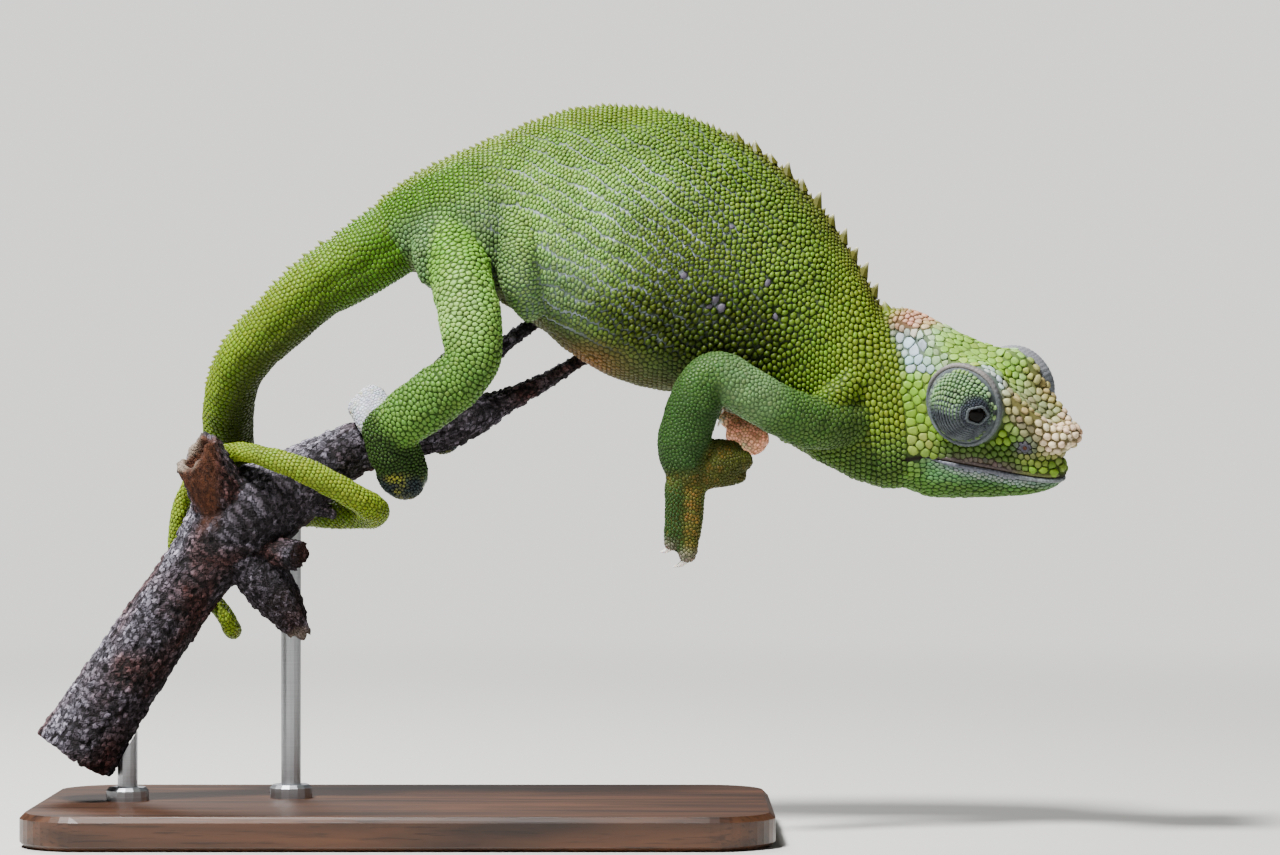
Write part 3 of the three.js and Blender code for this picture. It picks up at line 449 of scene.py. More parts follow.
# The flesh as closed lofts, which the skin is drawn over and the scales are laid on
print("lofts")
lofts = {"trunk": ribHoops(trunk["count"], trunk["sides"], trunk["coat"]),
         "head": fromHead(headHoops(head["count"], head["sides"], head["coat"])),
         "turretRight": turretHoops(-1), "turretLeft": turretHoops(1),
         "tail": tube(tail["path"], tail["spacing"], tail["sides"], tail["coat"], blunt=(False, True))}
tailAlong = np.linspace(0, 1, len(lofts["tail"]))[:, None]
tailTurn = np.arange(tail["sides"])[None] / tail["sides"]
tailGroove = tail["groove"] * np.exp(-((0.5 - 0.5 * np.cos(2 * math.pi * tailTurn) - 0.62) / 0.12) ** 2)
tailMiddle = lofts["tail"].mean(1, keepdims=True)
tailGroove = tailGroove * smooth(0.36, 0.2, tailAlong)
lofts["tail"] = tailMiddle + (lofts["tail"] - tailMiddle) * (1 - tailGroove)[..., None]
for name, leg in legs.items():
    lofts[name + "Limb"] = tube(leg["limb"], legCoat["spacing"], legCoat["sides"], legCoat["limb"],
                                legCoat["flat"])
    lofts[name + "Sole"] = tube(leg["sole"], legCoat["spacing"], legCoat["sides"], legCoat["limb"],
                                legCoat["flat"])
    for i, (path, tip) in enumerate(leg["toes"]):
        lofts[name + "Toe%d" % (i + 1)] = tube(path, 0.35, legCoat["toeSides"], legCoat["toe"])


def webOf(toes, flat, share):  # a bundle of toes is bound in skin nearly to the tips
    rows = []
    for i in range(3):
        here = np.array([path[i] for path, _ in toes])
        middle = here.mean(0)
        spread = max(np.linalg.norm(a[:3] - b[:3]) for a in here for b in here)
        rows.append([*middle[:3], 0.8 * middle[3] + (0.44 if flat < 0.9 else 0.16) * spread])
    rows[2] = [share * a + (1 - share) * b for a, b in zip(rows[2], rows[1])]
    return rows


for name, leg in legs.items():
    hind = name.startswith("hind")
    cut = 3 if hind else 2  # how many toes the first bundle has
    for word, toes, flat, share in (("First", leg["toes"][:cut], 0.62, 0.55),
                                    ("Second", leg["toes"][cut:], 1.0 if hind else 0.62,
                                     0.5 if hind else 0.05)):
        lofts[name + "Web" + word] = tube(webOf(toes, flat, share), 0.4, 32, legCoat["toe"], flat)
for side, word in ((-1, "Right"), (1, "Left")):
    x, y, z = turretCentre(side)
    a = roundAngles(64)
    lofts["mound" + word] = fromHead(np.array([
        np.stack([x + r * np.sin(a) * side, np.full(64, y + side * out), z + r * np.cos(a)], 1)
        for out, r in turret["mound"]]))
    for kind in ("canthus", "casqueEdge"):
        rows = [[x, side * y, z, r] for x, y, z, r in head[kind]]
        lofts[kind + word] = fromHead(tube(rows, 0.4, 20))
    for i, (x, y, z, r) in enumerate(head["knobs"]):
        rows = [[x - 0.8, side * y, z - 0.2, r], [x + 0.05, side * y, z, r]]
        lofts["knob%d%s" % (i + 1, word)] = fromHead(tube(rows, 0.3, 28, head["coat"]))

# Folds of loose skin: at the hip, at the groin and in the armpit
folds = {
    "hip": [[4.6, -4.6, 91.5, 2.2], [3.6, -6.6, 87.0, 2.1], [4.2, -7.2, 83.6, 1.7]],
    "groin": [[16.0, -5.4, 95.0, 2.2], [17.4, -7.5, 88.4, 3.0],
              [17.4, -7.7, 82.6, 2.8], [18.8, -6.6, 78.8, 2.0]],
    "armpit": [[58.0, -6.6, 60.5, 2.0], [62.5, -6.8, 63.5, 2.4], [66.5, -6.0, 67.5, 2.2]],
}
for name, rows in folds.items():
    lofts[name + "Right"] = tube(rows, 0.5, 28)
    lofts[name + "Left"] = tube(mirrored(rows), 0.5, 28)

skinShape = {"voxel": 0.5, "rounds": 4, "shrink": 0.5, "swell": -0.53, "wrinkle": 0.17, "fineWrinkle": 0.07}


def remeshed(name, shapes, voxel):  # one watertight mesh round closed lofts
    piece = place(closedMesh(name, shapes), name)
    change = piece.modifiers.new("remesh", "REMESH")
    change.mode = "VOXEL"
    change.voxel_size = voxel * mm
    change.use_smooth_shade = True
    result = bpy.data.meshes.new_from_object(piece.evaluated_get(bpy.context.evaluated_depsgraph_get()))
    bpy.data.objects.remove(piece)
    result.name = name
    return result


def relaxed(mesh, rounds):  # the points, shrunk and swelled by turns until the steps are gone
    points, edges = pointsOf(mesh), readRows(mesh.edges, "vertices", 2, np.int32)
    count = np.bincount(edges.ravel(), minlength=len(points)).astype(float)[:, None]
    for k in range(2 * rounds):
        total = np.zeros_like(points)
        np.add.at(total, edges[:, 0], points[edges[:, 1]])
        np.add.at(total, edges[:, 1], points[edges[:, 0]])
        points = points + (total / np.maximum(count, 1) - points) * skinShape["swell" if k % 2 else "shrink"]
    return points


def setPoints(mesh, points):
    mesh.vertices.foreach_set("co", np.asarray(points, np.float32).ravel())
    mesh.update()


def spot(a, b, place, reach, power=2):  # a soft-edged oval mark, 1 at its middle
    return np.exp(-np.abs((a - place[0]) / reach[0]) ** power - np.abs((b - place[1]) / reach[1]) ** power)


# Pale slanting lines part the flank's scales into groups: narrow ones behind, round mounds in front
groups = {"wide": 2.4, "deep": (1.14, 2.0), "steep": 0.36, "bend": 0.01, "from": 17, "middle": (37, 88.5),
          "reach": (25, 18), "furrow": 0.14, "mound": 0.3, "pull": 0.13, "pullAlong": 0.07, "furthest": 0.16}


def steepAt(x):  # how steeply the rows fall towards the chest
    return groups["steep"] + 2 * groups["bend"] * (x - groups["from"])


def acrossRows(x):  # which way lies across a row
    lean = np.arctan(steepAt(x))
    return np.stack([np.sin(lean), 0 * lean, np.cos(lean)], 1)


runStep = 0.05
runAt = np.arange(4, 74, runStep)
runDeep = groups["deep"][0] + (groups["deep"][1] - groups["deep"][0]) * smooth(35, 47, runAt)
runLength = np.cumsum(runStep * np.sqrt(1 + steepAt(runAt) ** 2) / runDeep)


def waver(x, z):  # how far a row wanders up or down
    return (0.34 * np.sin(0.55 * x + 0.3 * z) + 0.22 * np.sin(0.9 * z - 0.45 * x + 1.3) +
            0.16 * np.sin(1.5 * x + 0.8 * z + 2))


def slantRow(x, z):  # rows that run down the flank towards the chest, steeper as they go forward
    ahead = x - groups["from"]
    return (z - waver(x, z) + groups["steep"] * ahead + groups["bend"] * ahead ** 2) / groups["wide"]


def slantRun(x, z):  # how far along its row a place is, in groups; alternate rows are out of step
    return np.interp(x, runAt, runLength) + 0.37 * np.floor(slantRow(x, z))


def flankZone(points):
    return spot(points[:, 0], points[:, 2], groups["middle"], groups["reach"], 4)


def flankRelief(points):  # a furrow under each pale line, and a mound under each front group
    x, z = points[:, 0], points[:, 2]
    rowShare = np.sin(math.pi * (slantRow(x, z) % 1))
    runShare = np.sin(math.pi * (slantRun(x, z) % 1))
    front = smooth(36, 46, x)
    relief = groups["furrow"] * (1 - front) * rowShare + groups["mound"] * front * rowShare * runShare
    return flankZone(points) * relief


print("skin")
skinMesh = remeshed("bodySkin", list(lofts.values()), skinShape["voxel"])
skinPoints = relaxed(skinMesh, skinShape["rounds"])
setPoints(skinMesh, skinPoints)
skinLow = skinPoints / mm
wrinkle = np.array([skinShape["wrinkle"] * noise.noise(Vector(p) * 0.38) +
                    skinShape["fineWrinkle"] * noise.noise(Vector(p) * 0.95 + Vector((9, 0, 0)))
                    for p in skinLow.tolist()])
wrinkle *= 1 - 0.6 * smooth(-14, -10, toHead(skinLow)[:, 0])  # the head is smoother
clearOfLegs = smooth(11.5, 10.3, np.abs(skinLow[:, 1]))
aboveBelly = smooth(-4, 0, skinLow[:, 2] - 62 + 0.2 * (skinLow[:, 0] - 44))
wrinkle += flankRelief(skinLow) * clearOfLegs * aboveBelly
skinPoints = skinPoints + readRows(skinMesh.vertices, "normal", 3) * (wrinkle * mm)[:, None]
skinLow = skinPoints / mm
setPoints(skinMesh, skinPoints)
skinMesh.shade_smooth()
bodySkin = place(skinMesh, "bodySkin")
print("skin faces", len(skinMesh.polygons))

# What the skin looks like at each place: tone, skin between the scales, and the scales' size and form
tone, seamTone, pitch, stretch, height, flatness = slice(0, 3), slice(3, 6), 6, 7, 8, 9
columns = {"pitch": pitch, "stretch": stretch, "height": height, "flat": flatness}


def plainLook(count, name, seamHex, size, long, tall, flat=0.0):
    look = np.empty((count, 10))
    look[:, tone] = palette[name]
    look[:, seamTone] = linear(seamHex)
    look[:, 6:] = size, long, tall, flat
    return look


def paint(look, share, name=None, seam=None, **values):
    share = np.clip(share, 0, 1)
    if name:
        look[:, tone] = mixTone(look[:, tone], palette[name], share)
    if seam:
        look[:, seamTone] = mixTone(look[:, seamTone], linear(seam), share)
    for word, value in values.items():
        look[:, columns[word]] += (value - look[:, columns[word]]) * share


def trunkLook(points, turn):
    x, z = points[:, 0], points[:, 2]
    down = 0.5 - 0.5 * np.cos(2 * math.pi * turn)
    look = plainLook(len(points), "leaf", "#34471a", 0.74, 1.25, 0.28, 0.3)
    paint(look, 1 - smooth(4, 18, x), "rearLeaf", "#354a1b", pitch=0.72, stretch=1.15)
    paint(look, spot(x, z, (52, 88), (17, 17)), "deepLeaf", "#22310f", pitch=0.94, height=0.36)
    paint(look, spot(x, z, (28, 89), (14, 14), 3), "paleFlank", "#5c7140", pitch=0.7, stretch=1.5, height=0.3)
    paint(look, 0.75 * spot(x, z, (22, 79), (7, 8), 3), "blueFlank", "#6b7c78", pitch=0.7, stretch=1.4)
    paint(look, 0.85 * spot(x, z, (40, 84), (9, 11), 3), "olive", "#4b4f4c", pitch=0.78, stretch=1.3,
          height=0.34)
    paint(look, 0.8 * spot(x, z, (33, 78), (8, 5)), "olive", "#424c4c", pitch=0.76)
    # dark olive low on the front flank: its own olive, darkened further as painted shade
    paint(look, spot(x, z, (41, 76), (11, 5.5), 3), "lowOlive", "#1f290d", pitch=1.12, height=0.4)
    paint(look, spot(x, z, (50, 74), (8, 7), 3), "lowOlive", "#1b260b", pitch=1.12, height=0.42)
    # painted shade on the sides and underside of the trunk behind the belly's bulge
    paint(look, 0.7 * (1 - smooth(13.5, 18, x)) * smooth(0.2, 0.5, down), "shade", "#3a4a33", pitch=0.7)
    # painted shade in the groin crease between the flank and the thigh
    paint(look, 0.8 * spot(x, z, (13.6, 87), (1.1, 8), 4), "ankleGrey", "#1c2913", pitch=0.65)
    paint(look, smooth(60, 69, x), "neckYellow", "#314114", pitch=0.95, stretch=1.15, height=0.3)
    paint(look, smooth(0.14, 0.05, down), pitch=0.68, stretch=1.0)
    paint(look, 0.6 * smooth(0.14, 0.03, down) * smooth(52, 62, x), "crestOlive", "#2c3014")
    paint(look, smooth(0.05, 0, down) * smooth(40, 54, x), "crestOlive", "#363818", pitch=0.75)
    paint(look, smooth(0.09, 0.03, down) * smooth(44, 30, x), "backYellow", "#465622", pitch=0.68)
    paint(look, smooth(62, 56, z) * smooth(52, 60, x), "throat", "#2b3c1e", pitch=0.85, stretch=0.85)
    paint(look, smooth(0.80, 0.93, down) * smooth(60, 50, x), "bellyGrey", "#3c482a", pitch=0.72,
          stretch=0.72, height=0.24)
    paint(look, smooth(0.9, 0.985, down) * smooth(60, 48, x), "bellySand", "#534f30", pitch=0.7, stretch=0.8)
    paint(look, spot(x, z, (27, 70.6), (5.5, 2.6)), "apricot", "#564424", pitch=0.75)
    return look


def headLook(points):
    x, y, z = toHead(points).T
    side = np.abs(y)
    lip = mouthHeight(x)
    look = plainLook(len(points), "cheek", "#37491a", 1.3, 1.0, 0.24, 0.5)
    paint(look, spot(x, z, (-7.6, -3.0), (3.4, 6.5), 3), "cheek", "#52682a", pitch=1.6, flat=0.85,
          height=0.11)
    paint(look, smooth(2.5, 5.5, z - 0.15 * x) * smooth(-17, -6, x), "crown", "#61793c", pitch=1.5, flat=0.85,
          height=0.1)
    paint(look, smooth(-10.5, -15, x) * smooth(-12, 0, z), "neckYellow", "#303f12", pitch=0.95, stretch=1.15,
          flat=0.2, height=0.3)
    paint(look, smooth(2, 6, x) * smooth(-3.5, 1, z + 0.6 * (x - 4)), "snoutTop", "#55663a", pitch=1.4,
          flat=0.7, height=0.14)
    paint(look, smooth(3.0, 5.5, x) * spot(z + 0.92 * (x - 8), 0 * z, (-0.6, 0), (2.0, 1), 3) *
          smooth(2.2, 3.4, side), "snoutRidge", "#5d5830", pitch=1.4, flat=0.3, height=0.34)
    paint(look, smooth(4, 8, x) * spot(z + 0.9 * (x - 10), 0 * z, (-4.6, 0), (2.4, 1)), "snoutSide",
          "#55522e", pitch=1.3, flat=0.4, height=0.28)
    paint(look, spot(x, z, (-12.0, 10.3), (3.2, 1.6), 3), "casqueRose", "#5e442c", pitch=1.0, flat=0.3,
          height=0.3)
    paint(look, spot(x, z, (-11.6, 7.2), (3.9, 2.0), 4), "plateBlue", "#62706a", pitch=2.0, flat=1.0,
          height=0.07)
    paint(look, spot(x, z, (-8.9, 4.7), (3.4, 1.0), 4), "plateBlue", "#48573c", pitch=1.6, flat=0.8,
          height=0.16)
    paint(look, 0.8 * spot(z - (8.2 - 0.62 * (x + 8)), x, (-0.1, -5.6), (0.55, 4.4), 4) *
          smooth(0.2, 1.4, side), "casqueWhite", "#556548", pitch=1.1, flat=0.6)
    # pale streak along the canthal ridge: a pale skin line, partly a painted highlight on the ridge
    paint(look, spot(z + 1.05 * (x - 2.6), x, (4.4, 3.2), (0.75, 2.2), 4) * smooth(3.4, 4.2, side), "canthus",
          "#5d6a60", pitch=1.0, stretch=0.6, flat=0.6, height=0.2)
    paint(look, 0.9 * smooth(-5.3, -6.4, z) * smooth(-8, -4, x) * smooth(9.5, 6, x), "underEye", "#22340e",
          pitch=1.05, flat=0.3, height=0.28)
    paint(look, spot(x, z, (-9.5, -6.6), (3.6, 1.8), 3), "cheekYellow", "#3f4d1b", pitch=1.5, flat=0.8,
          height=0.14)
    paint(look, spot(x, z, (9.6, -7.6), (3.0, 1.4), 3), "snoutOlive", "#36401a", pitch=1.0)
    paint(look, spot(x, z - lip, (1.5, 0.75), (5.6, 0.75), 4), "upperLip", "#3f382b", pitch=0.8, flat=0.6,
          height=0.15)
    paint(look, smooth(0.1, -0.5, z - lip) * smooth(-11, -6.5, x), "jawBlue", "#324b33", pitch=0.66,
          stretch=0.6, height=0.2, flat=0.4)
    paint(look, smooth(-11.8, -13.4, z) + smooth(-8, -12, x) * smooth(-8.8, -10.6, z), "jaw", "#2a3d21",
          pitch=0.85, stretch=0.55, height=0.26)
    paint(look, spot(x, z - lip, (2.5, -0.75), (8, 0.45), 4), "lowerLip", "#474b4e", pitch=0.6,
          stretch=0.7, flat=0.7, height=0.12)
    paint(look, spot(x, z - lip, (2.5, -1.5), (6.5, 0.35), 4), "lipWhite", "#425b48", pitch=0.5, stretch=0.7)
    paint(look, spot(x, z, (8.0, -6.2), (1.6, 1.3), 4) * smooth(2.5, 3.4, side), "nostril", "#2c2c2c",
          pitch=0.7, flat=0.4)
    paint(look, smooth(9.6, 11.4, x) * smooth(-8.2, -5.8, z), "knob", "#766c4a", pitch=1.2, height=0.34,
          flat=0.3)
    paint(look, spot(x, z, (-12.6, -9.7), (2.4, 0.5), 4), "lipWhite", "#385c5b", pitch=0.8, stretch=0.6)
    return look


def mouthHeight(x):  # the mouth's line, in the head's frame
    line = np.array(head["mouth"])
    return np.interp(x, line[:, 0], line[:, 1])


def turretLook(points, along):
    x, _, z = toHead(points).T
    up = z - turret["right"][2]
    look = plainLook(len(points), "bead", "#182216", 0.66, 1.15, 0.42)
    paint(look, smooth(-1.0, 1.8, -up - 0.25 * x), "beadLow", "#171c1c", pitch=0.5, stretch=1.6, height=0.12)
    paint(look, smooth(0.55, 0.75, along), "lid", "#2a312e", pitch=0.6, flat=0.5, height=0.15)
    paint(look, smooth(0.17, 0.08, along), "beadLow", "#1b201f", pitch=0.4, flat=0.4, height=0.2)
    return look


def tailLook(points, along, turn):
    down = 0.5 - 0.5 * np.cos(2 * math.pi * turn)
    look = plainLook(len(points), "tailGreen", "#43541b", 0.72, 1.15, 0.2, 0.35)
    paint(look, smooth(0.55, 0.15, down), "tailYellow", "#4b5a1e")
    # painted shade: the tail's underside near the root is darker; its scales are also longer there
    paint(look, smooth(0.5, 0.8, down) * smooth(0.45, 0.3, along), "tailUnder", "#384515", stretch=1.9,
          height=0.2)
    paint(look, smooth(0.16, 0.02, along), "rearLeaf", "#405021")
    paint(look, 0.9 * smooth(0.42, 0.6, along), "coil", "#566520", pitch=0.6, stretch=1.1, flat=0.6,
          height=0.15)
    ring = 0.5 + 0.5 * np.sin(2 * math.pi * along * 19)
    paint(look, 0.28 * ring * smooth(0.6, 0.3, down), "backYellow")
    return look


def limbLook(points, along, turn, kind):
    if kind.startswith("hind"):
        look = plainLook(len(points), "thigh", "#3a5220", 0.86, 1.35, 0.22, 0.45)
        paint(look, smooth(0.40, 0.62, along), "shin", "#2f491a", pitch=0.8, stretch=1.3)
        paint(look, smooth(0.87, 0.97, along), "ankle", "#1c2d15", pitch=0.66, stretch=1.7, height=0.28)
        # painted highlight on the knee
        paint(look, 0.9 * spot(along, turn, (0.42, 0.25), (0.1, 0.7)), "paleKnee", "#455831")
        return look
    look = plainLook(len(points), "armGreen", "#35512a", 0.64, 1.1, 0.18, 0.5)
    paint(look, smooth(0.42, 0.12, along), "chestGreen", "#2b401c", pitch=0.78)
    paint(look, spot(along, 0 * along, (0.50, 0), (0.10, 1), 4), "elbow", "#56724a", pitch=0.66)
    paint(look, smooth(0.60, 0.75, along), "forearm", "#2a4420", pitch=0.54, stretch=1.15, height=0.18)
    paint(look, smooth(0.90, 0.99, along), "palm", "#3f441a", pitch=0.52)
    return look


footTones = {  # a sole, and toes from the first to the fifth
    "hind_right": ["ankleGrey", "padGrey", "padGrey", "ankleGrey", "paleToe", "paleToe"],
    "hind_left": ["ankleGrey", "padGrey", "padGrey", "ankleGrey", "paleToe", "paleToe"],
    "front_right": ["palm", "fingerOlive", "fingerOlive", "palm", "palm", "palm"],
    "front_left": ["farOrange"] * 6,
}
tipTones = {"hind_right": "paleToe", "hind_left": "paleToe",
            "front_right": "tipRose", "front_left": "farCream"}
blotches = {"hind_right": ("padYellow", 0.5),
            "hind_left": ("padYellow", 0.4), "front_right": ("rustStreak", 0.35),
            "front_left": ("farBrown", 0.6)}


def footLook(points, along, kind, number):
    main = footTones[kind][number]
    look = plainLook(len(points), main, "#313620", 0.52, 1.0, 0.26)
    if "Grey" in main:
        paint(look, 1, seam="#15191b", height=0.34)
    if main == "paleToe":
        paint(look, 1, seam="#a2a6ab", pitch=0.56, height=0.18, flat=0.4)
    x, y, z = points.T
    wave = np.sin(2.3 * x + 1.1 * z) * np.sin(1.7 * z - 1.3 * y + 1.0) * np.sin(1.1 * x + 2.0 * y + 0.4)
    name, share = blotches[kind]
    paint(look, share * smooth(0.12, 0.42, wave), name)
    if kind == "hind_right" and number < 4:
        paint(look, smooth(53.0, 54.6, z), "ankle", "#1a2412")
        paint(look, spot(x, z, (-1.0, 53.4), (1.3, 0.5), 3) * smooth(-6, -7, y), "padYellow")
    if kind == "front_right":
        paint(look, smooth(54.5, 51, z) * smooth(42.3, 41.2, x), "forearm")
        streak = 0.5 + 0.5 * np.sin(3.1 * z + 2.0 * np.sin(1.3 * x))
        paint(look, (0.2 + 0.4 * streak) * spot(x, z, (42.9, 48), (1.2, 6.0), 4), "rustStreak")
        paint(look, 1, seam="#45491f", pitch=0.5, flat=0.5, height=0.22)
    if kind == "front_left":
        paint(look, 1, seam="#b98262", flat=1.0, height=0.06)
    if number and not (kind == "front_right" and number > 2):
        most = 0.6 if kind == "front_right" else 1.0
        paint(look, most * smooth(0.78, 0.98, along), tipTones[kind], "#7b7c6c", pitch=0.5, flat=0.4,
              height=0.2)
    return look


# Where each loft's scales lie on the coat's flat chart: left, low, width, height
charts = {"trunk": (0.01, 0.50, 0.60, 0.48),
          "head": (0.63, 0.50, 0.36, 0.30), "tail": (0.01, 0.38, 0.98, 0.10),
          "turretRight": (0.63, 0.82, 0.17, 0.16), "turretLeft": (0.82, 0.82, 0.17, 0.16)}
footSpot = 0
for k, name in enumerate(legs):
    charts[name + "Limb"] = (0.01 + 0.245 * k, 0.20, 0.235, 0.16)
    for part in ["Sole"] + ["Toe%d" % (i + 1) for i in range(5)]:
        charts[name + part] = (0.01 + 0.04 * footSpot, 0.02, 0.037, 0.16)
        footSpot += 1


def lookOf(name, points, along, turn):
    if name == "trunk":
        return trunkLook(points, turn)
    if name.startswith("turret"):
        return turretLook(points, along)
    if name == "tail":
        return tailLook(points, along, turn)
    for kind in legs:
        if name == kind + "Limb":
            return limbLook(points, along, turn, kind)
        if name == kind + "Sole":
            return footLook(points, along, kind, 0)
        if name.startswith(kind + "Toe"):
            return footLook(points, along, kind, int(name[-1]))
        if name.startswith(kind + "Web"):
            return footLook(points, along * 0.6, kind, 2 if name.endswith("First") else 5)
    if name.startswith(tuple(folds)):
        return trunkLook(points, np.full(len(points), 0.25))
    look = headLook(points)
    if name.startswith("mound"):
        paint(look, 1, seam="#71787c")
    return look


def gridOf(rings):  # how far each place is along its loft, and what share of a turn round it
    n, sides, _ = rings.shape
    run = runOf(rings.mean(1))
    along = np.repeat((run / run[-1])[:, None], sides, 1)
    return along, np.repeat((np.arange(sides) / sides)[None], n, 0)


def treeOf(points):
    tree = kdtree.KDTree(len(points))
    for k, p in enumerate(points.tolist()):
        tree.insert(p, k)
    tree.balance()
    return tree


def nearestIn(tree, points, count):
    index = np.empty((len(points), count), np.int64)
    gap = np.empty((len(points), count))
    for k, p in enumerate(points.tolist()):
        found = tree.find_n(p, count)
        index[k] = [f[1] for f in found]
        gap[k] = [f[2] for f in found]
    return index, gap


print("guides")
skinTree = BVHTree.FromPolygons(skinLow.tolist(), [list(p.vertices) for p in skinMesh.polygons])


def ontoSkin(points):
    at, normal, gap = np.empty_like(points), np.empty_like(points), np.empty(len(points))
    for k, p in enumerate(points.tolist()):
        found = skinTree.find_nearest(p)
        at[k], normal[k], gap[k] = found[0], found[1], found[3]
    return at, normal, gap


guides = {"at": [], "look": [], "chart": [], "around": [], "loft": []}
lookGrids = {}
for number, (name, rings) in enumerate(lofts.items()):
    along, turn = gridOf(rings)
    points = rings.reshape(-1, 3)
    look = lookOf(name, points, along.ravel(), turn.ravel())
    lookGrids[name] = look.reshape(*rings.shape[:2], -1)
    keep = ontoSkin(points)[2] < 0.55
    if name.startswith("mound"):
        keep &= np.abs(toHead(points)[:, 1]) > 5.2
    if name == "trunk":
        keep &= toHead(points)[:, 0] < -11.5
    around = unit(np.roll(rings, -1, 1) - np.roll(rings, 1, 1)).reshape(-1, 3)
    box = charts.get(name)
    chart = np.full((len(points), 2), np.nan)
    if box:
        chart = np.stack([box[0] + box[2] * along.ravel(), box[1] + box[3] * turn.ravel()], 1)
    for word, values in zip(guides, (points, look, chart, around, np.full(len(points), number))):
        guides[word].append(values[keep])
guides = {word: np.concatenate(values) for word, values in guides.items()}
charted = np.where(np.isfinite(guides["chart"][:, 0]))[0]
bare = np.where(~np.isfinite(guides["chart"][:, 0]))[0]
nearest, _ = nearestIn(treeOf(guides["at"][charted]), guides["at"][bare], 1)
guides["chart"][bare] = guides["chart"][charted[nearest[:, 0]]]
guideTree = treeOf(guides["at"])
print("guides", len(guides["at"]))


def readGuides(points, count):  # the look at each place, and its nearest guide
    index, gap = nearestIn(guideTree, points, count)
    share = 1 / (gap ** 2 + 0.06)
    share /= share.sum(1, keepdims=True)
    look = (guides["look"][index] * share[..., None]).sum(1)
    return look, index[:, 0]


names = list(lofts)


def onTrunk(near):
    return guides["loft"][near] == names.index("trunk")


def layRoots(name, limit):  # rows of scale roots round a loft
    rings, look = lofts[name], lookGrids[name]
    n, sides, _ = rings.shape
    step = np.linalg.norm(np.diff(rings, axis=0), axis=2)
    step = np.concatenate([step, step[-1:]])
    size, long = look[..., pitch], look[..., stretch]
    typical = (size / np.sqrt(long)).mean(1)
    run = np.concatenate([[0], np.cumsum((np.median(step, axis=1) / typical)[:-1])])
    out = []
    for r in range(1, int(run[-1]) + 1):
        at = np.interp(r - 0.5, run, np.arange(n))
        k = min(int(at), n - 2)
        f = at - k
        ring = rings[k] * (1 - f) + rings[k + 1] * f
        rowGap = typical[k] * step[k] / max(np.median(step[k]), 1e-6)
        room = np.clip(size[k] ** 2 / np.maximum(rowGap, 0.2), 0.6 * size[k], 1.8 * size[k])
        edge = np.linalg.norm(np.roll(ring, -1, 0) - ring, axis=1)
        walk = np.concatenate([[0], np.cumsum(edge / room)])
        number = int(round(walk[-1]))
        if number < 3:
            continue
        where = np.interp((np.arange(number) + 0.5 * (r % 2)) / number * walk[-1], walk, np.arange(sides + 1))
        low = where.astype(int) % sides
        g = (where - where.astype(int))[:, None]
        out.append(ring[low] * (1 - g) + ring[(low + 1) % sides] * g)
    at, _, gap = ontoSkin(np.concatenate(out))
    return at[gap < limit]


def cellHash(points, size):
    return [tuple(c) for c in np.floor(points / size).astype(int).tolist()]


def thinned(points, spacing, kept=None):  # drops roots that crowd earlier ones
    cells = {}
    size = 1.6

    def near(p, c, reach):
        for dx in (-1, 0, 1):
            for dy in (-1, 0, 1):
                for dz in (-1, 0, 1):
                    for q in cells.get((c[0] + dx, c[1] + dy, c[2] + dz), ()):
                        if (p[0] - q[0]) ** 2 + (p[1] - q[1]) ** 2 + (p[2] - q[2]) ** 2 < reach * reach:
                            return True
        return False

    if kept is not None:
        for p, c in zip(kept.tolist(), cellHash(kept, size)):
            cells.setdefault(c, []).append(p)
    keep = []
    for k, (p, c, reach) in enumerate(zip(points.tolist(), cellHash(points, size), spacing.tolist())):
        if not near(p, c, reach):
            cells.setdefault(c, []).append(p)
            keep.append(k)
    return np.array(keep, int)


print("scale roots")
laying = {"limit": 0.6, "jitter": 0.04, "thin": 0.66, "fill": 0.74, "refill": 0.78, "groupFill": 0.95,
          "rounds": 8, "refillRound": 5, "fit": 0.97, "push": 0.32}
firmness = {"tail": 0.25, "turretRight": 0.0, "turretLeft": 0.0}  # 0 holds the rows as they were laid


def flankRoots():  # on the flank the scales stand in small groups between pale slanting lines
    out = []
    x = np.arange(11, 66, 0.02)
    ahead = x - groups["from"]
    for side in (-1, 1):
        for row in np.arange(24 + 1 / 6, 58, 1 / 3):
            z = row * groups["wide"] - groups["steep"] * ahead - groups["bend"] * ahead ** 2
            z = z + waver(x, z + waver(x, z))
            run = slantRun(x, z)
            stops = np.arange(math.ceil(run[0]) + 0.25, run[-1], 0.5)
            at = np.interp(stops, run, x)
            for a, b in zip(at, np.interp(at, x, z)):
                hit = skinTree.ray_cast((a, side * 30, b), (0, -side, 0))
                if hit[0] is not None and abs(hit[1][1]) > 0.35:
                    out.append(hit[0])
    out = np.array(out)
    out += 0.07 * chance.randn(*out.shape) * [1, 0, 1]
    return out[flankZone(out) + 0.3 * (chance.rand(len(out)) - 0.5) > 0.45]


laid = [layRoots(name, laying["limit"]) for name in ("tail", "turretRight", "turretLeft", "trunk")]
flank = flankRoots()
laid.insert(1, flank[onTrunk(readGuides(flank, 1)[1])])
roots = np.concatenate(laid)
roots += laying["jitter"] * chance.randn(*roots.shape)
look, near = readGuides(roots, 3)
astray = np.isin(guides["loft"][near], [names.index(n) for n in lofts if n.endswith(("Limb", "Sole"))])
roots, look = roots[~astray], look[~astray]
roots = roots[thinned(roots, laying["thin"] * look[:, pitch])]
faceCorners = np.array([list(p.vertices)[:3] + [p.vertices[-1]] for p in skinMesh.polygons])


